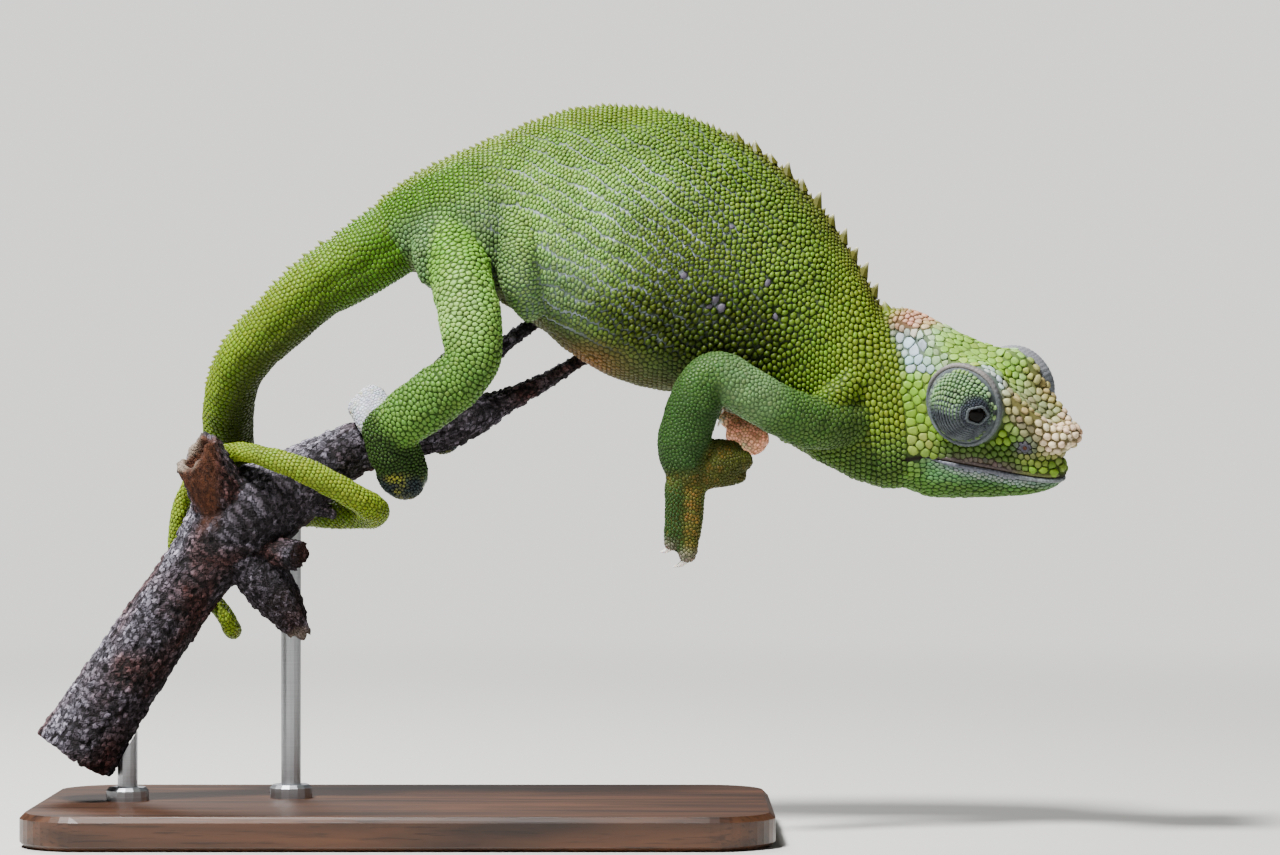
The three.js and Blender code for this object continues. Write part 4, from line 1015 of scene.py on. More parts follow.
def filled(roots, closest):  # more roots wherever the skin is still bare
    picked = faceCorners[chance.randint(0, len(faceCorners), int(2.6 * len(faceCorners)))]
    u, v = chance.rand(2, len(picked), 1)
    a, b, c, d = (skinLow[picked[:, k]] for k in range(4))
    candidates = (a * (1 - u) + b * u) * (1 - v) + (d * (1 - u) + c * u) * v
    look, near = readGuides(candidates, 3)
    grouped = flankZone(candidates) * onTrunk(near) > 0.3
    room = np.where(grouped, laying["groupFill"], closest) * look[:, pitch]
    extra = candidates[thinned(candidates, room, roots)]
    print("roots", len(roots), "and", len(extra), "more")
    return np.concatenate([roots, extra])


roots = filled(roots, laying["fill"])
normals = ontoSkin(roots)[1]


def framesAt(points, normals, nearestGuide):
    around = guides["around"][nearestGuide]
    grouped = onTrunk(nearestGuide) & (flankZone(points) > 0.3)
    around = np.where(grouped[:, None], acrossRows(points[:, 0]), around)
    first = unit(around - normals * (around * normals).sum(1, keepdims=True))
    return first, np.cross(normals, first)


def localOffsets(points, index, first, second, long):  # neighbours, in a plane where every scale is round
    gap = points[index] - points[:, None]
    a = (gap * first[:, None]).sum(2) / np.sqrt(long)[:, None]
    b = (gap * second[:, None]).sum(2) * np.sqrt(long)[:, None]
    return a, b


for settling in range(laying["rounds"]):  # crowded roots push each other apart along the skin
    if settling == laying["refillRound"]:
        roots = filled(roots, laying["refill"])
        normals = ontoSkin(roots)[1]
    look, near = readGuides(roots, 4)
    firm = np.ones(len(roots))
    for name, share in firmness.items():
        firm[guides["loft"][near] == names.index(name)] = share
    firm *= 1 - 0.8 * flankZone(roots) * onTrunk(near)
    first, second = framesAt(roots, normals, near)
    index, _ = nearestIn(treeOf(roots), roots, 9)
    index = index[:, 1:]
    a, b = localOffsets(roots, index, first, second, look[:, stretch])
    size = laying["fit"] * 0.5 * (look[:, pitch][:, None] + look[:, pitch][index])
    far = np.maximum(np.hypot(a, b), 1e-6)
    push = np.clip(size - far, 0, None) * laying["push"]
    moveA = -(a / far * push).sum(1) * firm
    moveB = -(b / far * push).sum(1) * firm
    roots = roots + first * (moveA * np.sqrt(look[:, stretch]))[:, None]
    roots = roots + second * (moveB / np.sqrt(look[:, stretch]))[:, None]
    roots, normals, _ = ontoSkin(roots)
plates = [[46.4, 79.9, 1.5], [47.3, 78.6, 1.3], [45.5, 78.8, 1.2], [41.7, 83.3, 1.2], [54.1, 82.2, 1.2],
          [55.2, 77.3, 1.1], [48.9, 90.6, 0.9]]
plateAt = []
for x, z, size in plates:  # lone mauve plates on each flank, in place of the scales that would stand there
    for side in (-1, 1):
        hit = skinTree.ray_cast((x, side * 30, z), (0, -side, 0))
        roots = roots[np.linalg.norm(roots - np.array(hit[0]), axis=1) > 0.62 * size]
        plateAt.append([*hit[0], size])
plateAt = np.array(plateAt)
roots = np.concatenate([roots, plateAt[:, :3]])
normals = ontoSkin(roots)[1]
near = readGuides(roots, 4)[1]
print("scales", len(roots))

scaleForm = {
    "headSpokes": 10, "smallSpokes": 7, "neighbours": 11, "groove": 0.03, "cap": 0.68, "power": 14,
    "dome": [(1.0, -0.55), (0.975, 0.12), (0.82, 0.62), (0.5, 0.92)],  # share of reach, share of height
    "plate": [(1.0, -0.6), (0.985, 0.45), (0.9, 0.85), (0.55, 0.98)],
    "smallDome": [(1.0, -0.4), (0.92, 0.42), (0.58, 0.9)],
    "smallPlate": [(1.0, -0.6), (0.96, 0.6), (0.6, 0.96)],
    "chartReach": 0.0015, "chartShare": (1.0, 0.9, 0.7, 0.4),  # a scale's patch of the flat chart
}
groupZone = flankZone(roots) * onTrunk(near)


def groupShift(points, zone):  # each scale leans a little towards the middle of its group
    x, z, side = points[:, 0], points[:, 2], np.sign(points[:, 1])
    cell = np.floor(slantRow(x, z)) * 1000 + np.floor(slantRun(x, z))
    _, inverse = np.unique(cell * 2 + (side > 0), return_inverse=True)
    count = np.bincount(inverse)
    middle = np.stack([np.bincount(inverse, points[:, i]) / count for i in range(3)], 1)[inverse]
    gap = middle - points
    across = acrossRows(x)
    part = across * (gap * across).sum(1, keepdims=True)
    move = (part * groups["pull"] + (gap - part) * groups["pullAlong"]) * zone[:, None]
    far = np.linalg.norm(move, axis=1, keepdims=True)
    return move * np.minimum(1, groups["furthest"] / np.maximum(far, 1e-6))


look, near = readGuides(roots, 5)
broad = np.array([noise.noise(Vector(p) * 0.22) for p in roots.tolist()])
lumps = np.array([noise.noise(Vector(p) * 0.45 + Vector((40, 0, 0))) for p in roots.tolist()])
look[:, tone] *= (1 + 0.28 * broad + 0.16 * (chance.rand(len(roots)) - 0.5))[:, None]
look[:, tone] = np.clip(look[:, tone] * (1 + 0.05 * chance.randn(len(roots), 3)), 0, 1)
look[:, height] *= 1 + 0.5 * lumps
look[:, height] *= 1 + 0.3 * (chance.rand(len(roots)) - 0.5)
look[:, pitch] *= 1 + 0.2 * (chance.rand(len(roots)) - 0.5)
last = slice(len(roots) - len(plateAt), None)
look[last, tone] = palette["mauve"]
look[last, pitch], look[last, flatness], look[last, height] = plateAt[:, 3], 0.55, 0.2
groupZone[last] = 0
first, second = framesAt(roots, normals, near)
index, _ = nearestIn(treeOf(roots), roots, scaleForm["neighbours"])
index = index[:, 1:]
offsetA, offsetB = localOffsets(roots, index, first, second, look[:, stretch])
centres = roots + groupShift(roots, groupZone)
chartSpot = guides["chart"][near]


def growScales(name, chosen, spokes):
    kinds = ("smallDome", "smallPlate") if spokes == scaleForm["smallSpokes"] else ("dome", "plate")
    angle = roundAngles(spokes)
    ray = np.stack([np.cos(angle), np.sin(angle)])
    a, b = offsetA[chosen], offsetB[chosen]
    own = look[chosen]
    shareOfGap = own[:, pitch][:, None] / (own[:, pitch][:, None] + look[:, pitch][index[chosen]])
    squared = a ** 2 + b ** 2
    facing = a[..., None] * ray[0] + b[..., None] * ray[1]
    reach = np.where(facing > 1e-3, (shareOfGap * squared)[..., None] / np.maximum(facing, 1e-3), 99.0)
    reach = (np.maximum(reach, 0.05) ** -scaleForm["power"]).sum(1)
    cap = (scaleForm["cap"] * own[:, pitch])[:, None]
    reach = (reach + cap ** -scaleForm["power"]) ** (-1 / scaleForm["power"])
    reach = reach - scaleForm["groove"] * np.minimum(own[:, pitch], 1.3)[:, None] / 1.1
    reach = np.maximum(reach, 0.1) * (1 + 0.1 * (chance.rand(*reach.shape) - 0.5))
    outA = first[chosen][:, None] * (reach * ray[0] * np.sqrt(own[:, stretch])[:, None])[..., None]
    outB = second[chosen][:, None] * (reach * ray[1] / np.sqrt(own[:, stretch])[:, None])[..., None]
    tall = (own[:, height] * own[:, pitch])[:, None, None] * normals[chosen][:, None]
    flat = own[:, flatness][:, None, None]
    middle = centres[chosen][:, None]
    rings, rise = [], []
    for (domeOut, domeUp), (plateOut, plateUp) in zip(*(scaleForm[kind] for kind in kinds)):
        share, lift = domeOut + (plateOut - domeOut) * flat, domeUp + (plateUp - domeUp) * flat
        rings.append(middle + (outA + outB) * share + tall * lift)
        rise.append(np.clip(np.broadcast_to(lift[:, :, 0], reach.shape), 0, 1))
    count, levels = len(chosen), len(rings)
    points = np.concatenate(rings + [middle + tall], 1)
    rise = np.concatenate(rise + [np.ones((count, 1))], 1)
    each = points.shape[1]
    j = np.arange(spokes)
    k = (j + 1) % spokes
    quads = np.concatenate([np.stack([m * spokes + j, m * spokes + k, (m + 1) * spokes + k,
                                      (m + 1) * spokes + j], 1) for m in range(levels - 1)])
    tops = np.stack([(levels - 1) * spokes + j, (levels - 1) * spokes + k, np.full(spokes, levels * spokes)],
                    1)
    base = (np.arange(count) * each)[:, None, None]
    mesh = meshOf(name, points.reshape(-1, 3) * mm, [(quads[None] + base).reshape(-1, 4),
                                                     (tops[None] + base).reshape(-1, 3),
                                                     j[None, ::-1] + base[:, 0]])
    addAttribute(mesh, "tone", np.repeat(own[:, tone], each, 0), "FLOAT_COLOR")
    addAttribute(mesh, "rise", rise.ravel())
    addAttribute(mesh, "chance", np.repeat(chance.rand(count), each))  # one number for each scale
    onChart = [share * ray.T for share in scaleForm["chartShare"][:levels]] + [np.zeros((1, 2))]
    patch = chartSpot[chosen][:, None] + scaleForm["chartReach"] * np.concatenate(onChart)[None]
    putChart(mesh, patch.reshape(-1, 2))
    return place(mesh, name)


def putChart(mesh, perPoint):
    corner = readRows(mesh.loops, "vertex_index", 1, np.int32)[:, 0]
    layer = mesh.uv_layers.new(name="OFBake")
    layer.uv.foreach_set("vector", np.asarray(perPoint, np.float32)[corner].ravel())


print("growing scales")
rootsInHead = toHead(roots)
fromMouth = np.abs(rootsInHead[:, 2] - mouthHeight(rootsInHead[:, 0]))
onLips = (fromMouth < 0.62) & (rootsInHead[:, 0] > -5.5) | (fromMouth < 0.26) & (rootsInHead[:, 0] > -13)


def familyName(loft):
    if loft.startswith(tuple(folds)):
        return "trunk"
    for start in ("tail", "trunk", "turret", "mound"):
        if loft.startswith(start):
            return start
    return "hindLeg" if loft.startswith("hind") else "frontLeg" if loft.startswith("front") else "head"


familyOf = np.array([familyName(n) for n in names])[guides["loft"][near]]
familyOf[onLips & (familyOf == "head")] = "lips"
scalePieces = {}


def family(name, members, spokes=scaleForm["smallSpokes"]):
    chosen = np.where(members)[0]
    scalePieces[name] = growScales(name, chosen, spokes)
    triangles = sum(len(p.vertices) - 2 for p in scalePieces[name].data.polygons)
    print(name, len(chosen), "scales", triangles, "triangles")


for side, word in ((-1, "Right"), (1, "Left")):
    here = roots[:, 1] * side > 0
    flank = here & (familyOf == "trunk")
    for part, low, high in (("rear", -99, 30), ("mid", 30, 52), ("fore", 52, 199)):
        family(part + "FlankScales" + word, flank & (roots[:, 0] >= low) & (roots[:, 0] < high))
    family("hindLegScales" + word, here & (familyOf == "hindLeg"))
    family("frontLegScales" + word, here & (familyOf == "frontLeg"))
family("tailScalesUpper", (familyOf == "tail") & (roots[:, 2] > 66))
family("tailScalesLower", (familyOf == "tail") & (roots[:, 2] <= 66))
family("headScales", familyOf == "head", scaleForm["headSpokes"])
family("turretScales", familyOf == "turret")

skinLook, near = readGuides(skinLow, 7)
fromRow = np.abs(slantRow(skinLow[:, 0], skinLow[:, 2]) % 1 - 0.5)
fromCell = np.abs(slantRun(skinLow[:, 0], skinLow[:, 2]) % 1 - 0.5)
onFlank = flankZone(skinLow) * onTrunk(near)
paleness = spot(skinLow[:, 0], skinLow[:, 2], (31, 88), (19, 15), 3)
patchy = np.array([0.75 + 0.9 * noise.noise(Vector(p) * 0.3) for p in skinLow.tolist()])
betweenGroups = 0.5 * smooth(0.34, 0.44, fromCell) * np.clip(1.4 * patchy - 0.7, 0, 1)
lineShare = np.maximum(smooth(0.38, 0.44, fromRow), betweenGroups)
lineShare *= onFlank * np.clip(patchy, 0.15, 1) * smooth(74, 78, skinLow[:, 2] + 0.25 * (skinLow[:, 0] - 20))
skinTone = mixTone(skinLook[:, seamTone], mixTone(palette["lineGrey"], palette["skinLine"], paleness),
                   lineShare)
inHead = toHead(skinLow)
# painted shade: the skin along the mouth's seam, between the lips, is painted near black
mouthShade = spot(inHead[:, 2] - mouthHeight(inHead[:, 0]), 0 * inHead[:, 2], (0, 0), (0.45, 1), 4) * smooth(
    -14.5, -12.5, inHead[:, 0])
skinTone = mixTone(skinTone, palette["mouthLine"], mouthShade)
addAttribute(skinMesh, "tone", skinTone, "FLOAT_COLOR")


# Materials. Map Range takes its range from sockets 1 and 2 to sockets 3 and 4; Mix has its colours on 6 and 7
def addNode(tree, kind, settings=None, links=None):
    node = tree.nodes.new(kind)
    for key, value in (settings or {}).items():
        if isinstance(key, int) or key in node.inputs.keys():
            node.inputs[key].default_value = value
        else:
            setattr(node, key, value)
    for key, (source, output) in (links or {}).items():
        tree.links.new(source.outputs[output], node.inputs[key])
    return node


def startMaterial(name, settings):
    material = bpy.data.materials.new(name)
    material.use_nodes = True
    tree = material.node_tree
    tree.nodes.clear()
    shader = addNode(tree, "ShaderNodeBsdfPrincipled", settings)
    addNode(tree, "ShaderNodeOutputMaterial", None, {"Surface": (shader, "BSDF")})
    return material, tree, shader


def colour(hexText):
    return tuple(linear(hexText)) + (1.0,)


def setRamp(node, *stops):  # stops: (position, hex)
    for i, (position, hexText) in enumerate(stops):
        elements = node.color_ramp.elements
        stop = elements[i] if i < len(elements) else elements.new(position)
        stop.position, stop.color = position, colour(hexText)


scaleLook = {"mottleSize": 0.55, "grainSize": 0.12, "roughness": 0.42, "bump": 0.02}


def granularScales():  # keratin scales: a waxy soft gloss, with painted highlight on the crowns and painted shade at the rims
    material, tree, shader = startMaterial("granularKeratin", {
        "Roughness": scaleLook["roughness"], "IOR": 1.45, "Specular IOR Level": 0.22})
    toneIn = addNode(tree, "ShaderNodeAttribute", {"attribute_name": "tone"})
    rise = addNode(tree, "ShaderNodeAttribute", {"attribute_name": "rise"})
    coords = addNode(tree, "ShaderNodeTexCoord")
    here = {"Vector": (coords, "Object")}
    mottle = addNode(tree, "ShaderNodeTexNoise", {"Scale": 1000 / scaleLook["mottleSize"] / 2, "Detail": 2.0},
                     here)
    # painted shade and highlight: the tone is halved at each scale's rim and lifted a tenth at its crown
    rimShadeCrownHighlight = addNode(tree, "ShaderNodeMapRange", {1: 0.0, 2: 0.9, 3: 0.5, 4: 1.1}, {0: (rise, "Fac")})
    spread = addNode(tree, "ShaderNodeMapRange", {1: 0.3, 2: 0.7, 3: 0.88, 4: 1.12}, {0: (mottle, "Fac")})
    both = addNode(tree, "ShaderNodeMath", {"operation": "MULTIPLY"}, {0: (rimShadeCrownHighlight, 0), 1: (spread, 0)})
    lit = addNode(tree, "ShaderNodeVectorMath", {"operation": "SCALE"},
                  {0: (toneIn, "Color"), "Scale": (both, 0)})
    tree.links.new(lit.outputs[0], shader.inputs["Base Color"])
    grain = addNode(tree, "ShaderNodeTexNoise", {"Scale": 1000 / scaleLook["grainSize"] / 2, "Detail": 3.0},
                    here)
    bump = addNode(tree, "ShaderNodeBump", {"Strength": 0.25, "Distance": scaleLook["bump"] * mm},
                   {"Height": (grain, "Fac")})
    tree.links.new(bump.outputs[0], shader.inputs["Normal"])
    return material


def foldedSkin():  # the thin skin between the scales, duller than they are
    material, tree, shader = startMaterial("interstitialSkin", {
        "Roughness": 0.65, "IOR": 1.4, "Specular IOR Level": 0.12})
    toneIn = addNode(tree, "ShaderNodeAttribute", {"attribute_name": "tone"})
    coords = addNode(tree, "ShaderNodeTexCoord")
    here = {"Vector": (coords, "Object")}
    grain = addNode(tree, "ShaderNodeTexNoise", {"Scale": 2600.0, "Detail": 3.0}, here)
    spread = addNode(tree, "ShaderNodeMapRange", {1: 0.3, 2: 0.7, 3: 0.8, 4: 1.15}, {0: (grain, "Fac")})
    lit = addNode(tree, "ShaderNodeVectorMath", {"operation": "SCALE"},
                  {0: (toneIn, "Color"), "Scale": (spread, 0)})
    tree.links.new(lit.outputs[0], shader.inputs["Base Color"])
    bump = addNode(tree, "ShaderNodeBump", {"Strength": 0.4, "Distance": 0.04 * mm},
                   {"Height": (grain, "Fac")})
    tree.links.new(bump.outputs[0], shader.inputs["Normal"])
    return material


scaleMaterial = granularScales()
skinMaterial = foldedSkin()
skinMesh.materials.append(skinMaterial)
for piece in scalePieces.values():
    piece.data.materials.append(scaleMaterial)


def shapeFrom(name, parts):  # parts: a loft and a tone for each of its hoops
    mesh = closedMesh(name, [rings for rings, _ in parts])
    tones = []
    for rings, tint in parts:
        tones += [np.repeat(tint, rings.shape[1], 0), tint[:1], tint[-1:]]
    addAttribute(mesh, "tone", np.concatenate(tones), "FLOAT_COLOR")
    return place(mesh, name)


def ringsFrom(name, parts):  # parts: the points, quads and tones of closed rings
    quads, base = [], 0
    for points, faces, _ in parts:
        quads.append(faces + base)
        base += len(points)
    mesh = meshOf(name, np.concatenate([part[0] for part in parts]) * mm, [np.concatenate(quads)])
    addAttribute(mesh, "tone", np.concatenate([part[2] for part in parts]), "FLOAT_COLOR")
    return place(mesh, name)


# The mouth: a smooth lip above and below a line of painted shade that runs right round the snout
lips = {"middle": [-1.0, 0.0], "reach": 158, "samples": 180, "corner": -8.0, "upper": 0.38, "lower": 0.36,
        "gap": 0.10, "spacing": 0.3, "sides": 18}


def mouthCurve():
    out = []
    for angle in np.radians(np.linspace(-lips["reach"], lips["reach"], lips["samples"])):
        aim = np.array([math.cos(angle), math.sin(angle)])
        z, hit = -10.0, None
        for _ in range(3):
            start = np.array([*(lips["middle"] + 40 * aim), z])
            inward = fromHead(start - [*aim, 0]) - fromHead(start)
            found = skinTree.ray_cast(fromHead(start).tolist(), inward.tolist())
            if found[0] is not None:
                hit = toHead(np.array(found[0]))
                z = float(mouthHeight(hit[0]))
        if hit is not None and hit[0] > lips["corner"]:
            out.append([hit[0], hit[1], z])
    out = np.array(out)
    for _ in range(3):
        out[1:-1] = 0.25 * out[:-2] + 0.5 * out[1:-1] + 0.25 * out[2:]
    return out


print("mouth, eyes and lids")
mouth = mouthCurve()
taper = smooth(-8.0, -3.5, mouth[:, 0])
lipParts = []
for sign, thick in ((1, lips["upper"]), (-1, lips["lower"])):
    radius = thick * (0.2 + 0.8 * taper)
    offset = sign * (radius + lips["gap"] / 2)
    rows = np.concatenate([mouth + offset[:, None] * np.array([0, 0, 1]), radius[:, None]], 1)
    rows[:, :2] -= unit(mouth[:, :2] - lips["middle"]) * (0.55 * thick)
    rings = tube(rows, lips["spacing"], lips["sides"])
    x = rings.mean(1)[:, 0]
    if sign > 0:
        tint = mixTone(palette["upperLip"], palette["snoutOlive"], smooth(5.0, 8.5, x))
        tint = mixTone(tint, palette["lowerLip"], smooth(-5, -8, x))
    else:
        tint = mixTone(palette["lowerLip"], palette["lipWhite"], 0.35 * smooth(4, 9, x))
    lipParts.append((fromHead(rings), tint))
lipBands = shapeFrom("lipBands", lipParts)

# Folds round the turrets and the rims of the eyes' openings
lidParts, eyeParts = [], []
for side in (-1, 1):
    centre, gaze, over, across = turretAxes(side)
    parts = []
    for radius, thick, out, tall in turret["folds"]:
        fold, quads = ringTube(centre + np.array([0, side * out, 0]), np.array([0, side, 0.0]),
                               np.array([0, 0, 1.0]), radius, thick, 220, 18, tall / thick)
        polar = np.arctan2(fold[:, 2] - centre[2], fold[:, 0] - centre[0])
        inward = np.minimum((fold[:, 1] - centre[1]) * side - out, 0)
        if radius > 5.6 and side > 0:
            fold[:, 1] += side * inward * 3.6 * smooth(-0.3, 0.4, np.sin(polar))
        fold[:, 1] += side * 0.08 * np.sin(5 * polar + 1.3)
        wrinkle = 1 + 0.006 * np.sin(61 * polar + 2 * np.sin(7 * polar)) + 0.008 * np.sin(3 * polar + 0.5)
        fold[:, 0] = centre[0] + (fold[:, 0] - centre[0]) * wrinkle
        fold[:, 2] = centre[2] + (fold[:, 2] - centre[2]) * wrinkle
        warm = smooth(0.1, 0.9, np.sin(polar)) * (0.8 if side < 0 else 0.4)
        tint = mixTone(palette["lid"], palette["lidWarm"], warm)
        if side > 0:
            tint = mixTone(tint, palette["paleToe"], 0.3)
        # painted shadow: the inner folds go near black at the lower front, where the dome's crease lies in
        # shade
        creaseShadow = 0.9 * (radius < 5.6) * smooth(-0.4, 0.5, np.cos(polar) - np.sin(polar))
        tint = mixTone(tint, palette["crease"], creaseShadow)
        parts.append((fold, quads, tint))
    rim, rimQuads = ringTube(np.zeros(3), gaze, over, turret["rimRadius"], turret["rimThick"], 160, 16, 1.2)
    polar = np.arctan2(rim @ over, rim @ across)
    lift = rim @ gaze
    uneven = 1 + 0.06 * np.cos(5 * polar + 0.7) + 0.02 * np.sin(17 * polar)
    flatPart = (rim - lift[:, None] * gaze) * uneven[:, None]
    wider, lower = (flatPart @ across)[:, None] * across, (flatPart @ over)[:, None] * over
    flatPart = flatPart + 0.18 * wider - 0.1 * lower
    rim = flatPart + (lift + turret["top"] - 0.02)[:, None] * gaze
    rim[:, 1] *= turret["flatten"]
    parts.append((centre + rim, rimQuads, np.tile(palette["rim"], (len(rim), 1))))
    for polarStep in np.arange(25, 78, 6.2):  # creases round the opening, clearest below and behind it
        rise, out = turretProfile(polarStep)
        crease, creaseQuads = ringTube(np.zeros(3), gaze, over, out, turret["creaseThick"], 200, 10, 1.0)
        lowBack = smooth(-0.1, 0.45, -(0.72 * (crease @ over) + 0.7 * (crease @ across)) / out)
        polar = np.arctan2(crease @ over, crease @ across)
        crease = crease + gaze * rise
        lower = 0.45 * (1 - lowBack) + 0.05 * np.sin(31 * polar + polarStep)
        crease = crease - unit(crease) * lower[:, None]
        crease[:, 1] *= turret["flatten"]
        tint = mixTone(palette["beadLow"], palette["lid"], 0.5 + 0.3 * np.sin(9 * polar))
        parts.append((centre + crease, creaseQuads, tint))
    for part, faces, tint in parts:
        lidParts.append((fromHead(part), faces[:, ::-1] if side > 0 else faces, tint))
    steps = np.radians(np.linspace(4, 150, 40))
    angle = roundAngles(48)
    around = over * np.cos(angle)[:, None] + across * np.sin(angle)[:, None]
    low = turret["top"] - turret["eyeDeep"]
    ball = []
    for step in steps:
        height = low + turret["eyeRadius"] * math.cos(step)
        hoop = gaze * height + turret["eyeRadius"] * math.sin(step) * around
        hoop[:, 1] *= turret["flatten"]
        ball.append(centre + hoop)
    eyeParts.append((fromHead(np.array(ball)), np.repeat((steps / math.pi)[:, None], 3, 1)))
eyeLids = ringsFrom("eyeLids", lidParts)
eyes = shapeFrom("eyes", eyeParts)

# Nostrils: a soft ring round a small dark pit
nostrils = {"at": [8.1, -6.3], "radius": 0.5, "thick": 0.24, "pitRadius": 0.16, "pitThick": 0.22}
noseParts = []
for side in (-1, 1):
    start = fromHead(np.array([nostrils["at"][0], side * 20, nostrils["at"][1]]))
    aim = fromHead(np.array([nostrils["at"][0], 0, nostrils["at"][1]])) - start
    hit = skinTree.ray_cast(start.tolist(), aim.tolist())
    at, normal = np.array(hit[0]), np.array(hit[1])
    for radius, thick, word in ((nostrils["radius"], nostrils["thick"], "nostril"),
                                (nostrils["pitRadius"], nostrils["pitThick"], "noseInside")):
        ring, quads = ringTube(at + normal * 0.08, normal, np.array([0, 0, 1.0]), radius, thick, 40, 12, 0.8)
        noseParts.append((ring, quads, np.tile(palette[word], (len(ring), 1))))
nostrilRings = ringsFrom("nostrilRings", noseParts)

# Claws: curved, tapered to a blunt point
claws = {"root": 0.5, "tip": 0.1, "bend": 0.2, "sides": 14, "length": 0.8}
clawParts = []
for leg in legs.values():
    for path, tip in leg["toes"]:
        end, before, tip = np.array(path[-1][:3]), np.array(path[-2][:3]), np.array(tip)
        heading = unit(end - before)
        tip = end + (tip - end) * claws["length"]
        length = np.linalg.norm(tip - end)
        line = unit(tip - end)
        bow = unit(heading - line * heading.dot(line) + 1e-6) * claws["bend"] * length
        root = claws["root"] * path[-1][3]
        rows = [[*(end - line * 0.2), root], [*(end + 0.35 * (tip - end) + 0.8 * bow), 0.82 * root],
                [*(end + 0.7 * (tip - end) + 0.75 * bow), 0.5 * root], [*tip, claws["tip"]]]
        rings = tube(rows, 0.16, claws["sides"], start=(0.3, 0.2, 1))
        share = np.linspace(0, 1, len(rings))
        clawParts.append((rings, np.repeat(share[:, None], 3, 1)))
clawPiece = shapeFrom("claws", clawParts)

# Cones along the back and the tail's root, and the crest's taller spines, set on points by one node tree
cones = {"crestUneven": [0.9, 1.0, 0.75, 1.1, 0.9, 1.15, 0.8, 1.1, 0.85, 1.05, 0.95, 0.8],
         "spacing": 1.0, "height": [0.75, 1.05], "wide": 0.55, "crest": 12, "crestRibs": [8.8, 14.1],
         "crestHeight": [1.5, 2.1], "crestWide": 1.05, "crestLean": 0.75, "sunk": 0.3, "sides": 9, "rows": 4,
         "tip": 0.14}


def dorsalLine():  # the top of the back from the nape, then the top of the tail
    trunkTop = np.stack([rowsAt(trunk["ribs"], np.linspace(14.6, 0.4, 400))[:, i] for i in (0, 4, 1)], 1)
    rings = lofts["tail"]
    return np.concatenate([trunkTop, rings[4:int(0.62 * len(rings)), 0]])


def coneRows():
    line = dorsalLine()
    walk = runOf(line)
    stops = np.arange(0.5, walk[-1] - 1, cones["spacing"])
    at = np.stack([np.interp(stops, walk, line[:, i]) for i in range(3)], 1)
    at[:, 1] += 0.05 * chance.randn(len(at))
    onto, normal, _ = ontoSkin(at)
    ahead = unit(np.stack([np.interp(stops - 1, walk, line[:, i]) - np.interp(stops + 1, walk, line[:, i])
                           for i in range(3)], 1))
    share = stops / walk[-1]
    tall = cones["height"][0] + (cones["height"][1] - cones["height"][0]) * (
        spot(share, 0 * share, (0.50, 0), (0.10, 1)) * (np.arange(len(at)) % 3 == 0))
    tall = tall * (0.85 + 0.3 * chance.rand(len(at))) * smooth(1.02, 0.75, share)
    wide = np.full(len(at), cones["wide"]) * smooth(1.1, 0.6, share) * (0.9 + 0.2 * chance.rand(len(at)))
    lean = unit(normal - 0.45 * ahead)
    rows = [onto, lean, tall, wide]
    spines = rowsAt(trunk["ribs"], np.linspace(*cones["crestRibs"], cones["crest"]))
    root = np.stack([spines[:, 0], spines[:, 4], spines[:, 1]], 1)
    onto, normal, _ = ontoSkin(root)
    nearestStop = np.argmin(np.linalg.norm(root[:, None] - at[None], axis=2), 1)
    lean = unit(normal - cones["crestLean"] * ahead[nearestStop])
    tall = np.linspace(*cones["crestHeight"], cones["crest"]) * cones["crestUneven"]
    spinesIn = [onto, lean, tall, np.full(cones["crest"], cones["crestWide"])]
    return [np.concatenate([a, b]) for a, b in zip(rows, spinesIn)]


def coneTree(material):
    tree = bpy.data.node_groups.new("backCones", "GeometryNodeTree")
    tree.interface.new_socket("Geometry", in_out="INPUT", socket_type="NodeSocketGeometry")
    sides = tree.interface.new_socket("Sides", in_out="INPUT", socket_type="NodeSocketInt")
    rows = tree.interface.new_socket("Rows", in_out="INPUT", socket_type="NodeSocketInt")
    blunt = tree.interface.new_socket("Tip share", in_out="INPUT", socket_type="NodeSocketFloat")
    tree.interface.new_socket("Geometry", in_out="OUTPUT", socket_type="NodeSocketGeometry")
    given = addNode(tree, "NodeGroupInput")
    cone = addNode(tree, "GeometryNodeMeshCone", {"Radius Bottom": 1.0, "Depth": 1.0},
                   {"Vertices": (given, "Sides"), "Side Segments": (given, "Rows"),
                    "Radius Top": (given, "Tip share")})
    at = addNode(tree, "GeometryNodeInputPosition")
    kept = addNode(tree, "GeometryNodeStoreNamedAttribute", {"data_type": "FLOAT_VECTOR", "Name": "local"},
                   {"Geometry": (cone, "Mesh"), "Value": (at, "Position")})
    lean = addNode(tree, "GeometryNodeInputNamedAttribute", {"data_type": "FLOAT_VECTOR", "Name": "lean"})
    size = addNode(tree, "GeometryNodeInputNamedAttribute", {"data_type": "FLOAT_VECTOR", "Name": "size"})
    turned = addNode(tree, "FunctionNodeAlignRotationToVector", {"axis": "Z"},
                     {"Vector": (lean, "Attribute")})
    dots = addNode(tree, "GeometryNodeMeshToPoints", {"Radius": 0.0001}, {"Mesh": (given, "Geometry")})
    scattered = addNode(tree, "GeometryNodeInstanceOnPoints", None,
                        {"Points": (dots, "Points"), "Instance": (kept, "Geometry"),
                         "Rotation": (turned, "Rotation"), "Scale": (size, "Attribute")})
    real = addNode(tree, "GeometryNodeRealizeInstances", None, {"Geometry": (scattered, "Instances")})
    finish = addNode(tree, "GeometryNodeSetMaterial", {"Material": material},
                     {"Geometry": (real, "Geometry")})
    addNode(tree, "NodeGroupOutput", None, {"Geometry": (finish, "Geometry")})
    return tree, {"Sides": sides.identifier, "Rows": rows.identifier, "Tip share": blunt.identifier}


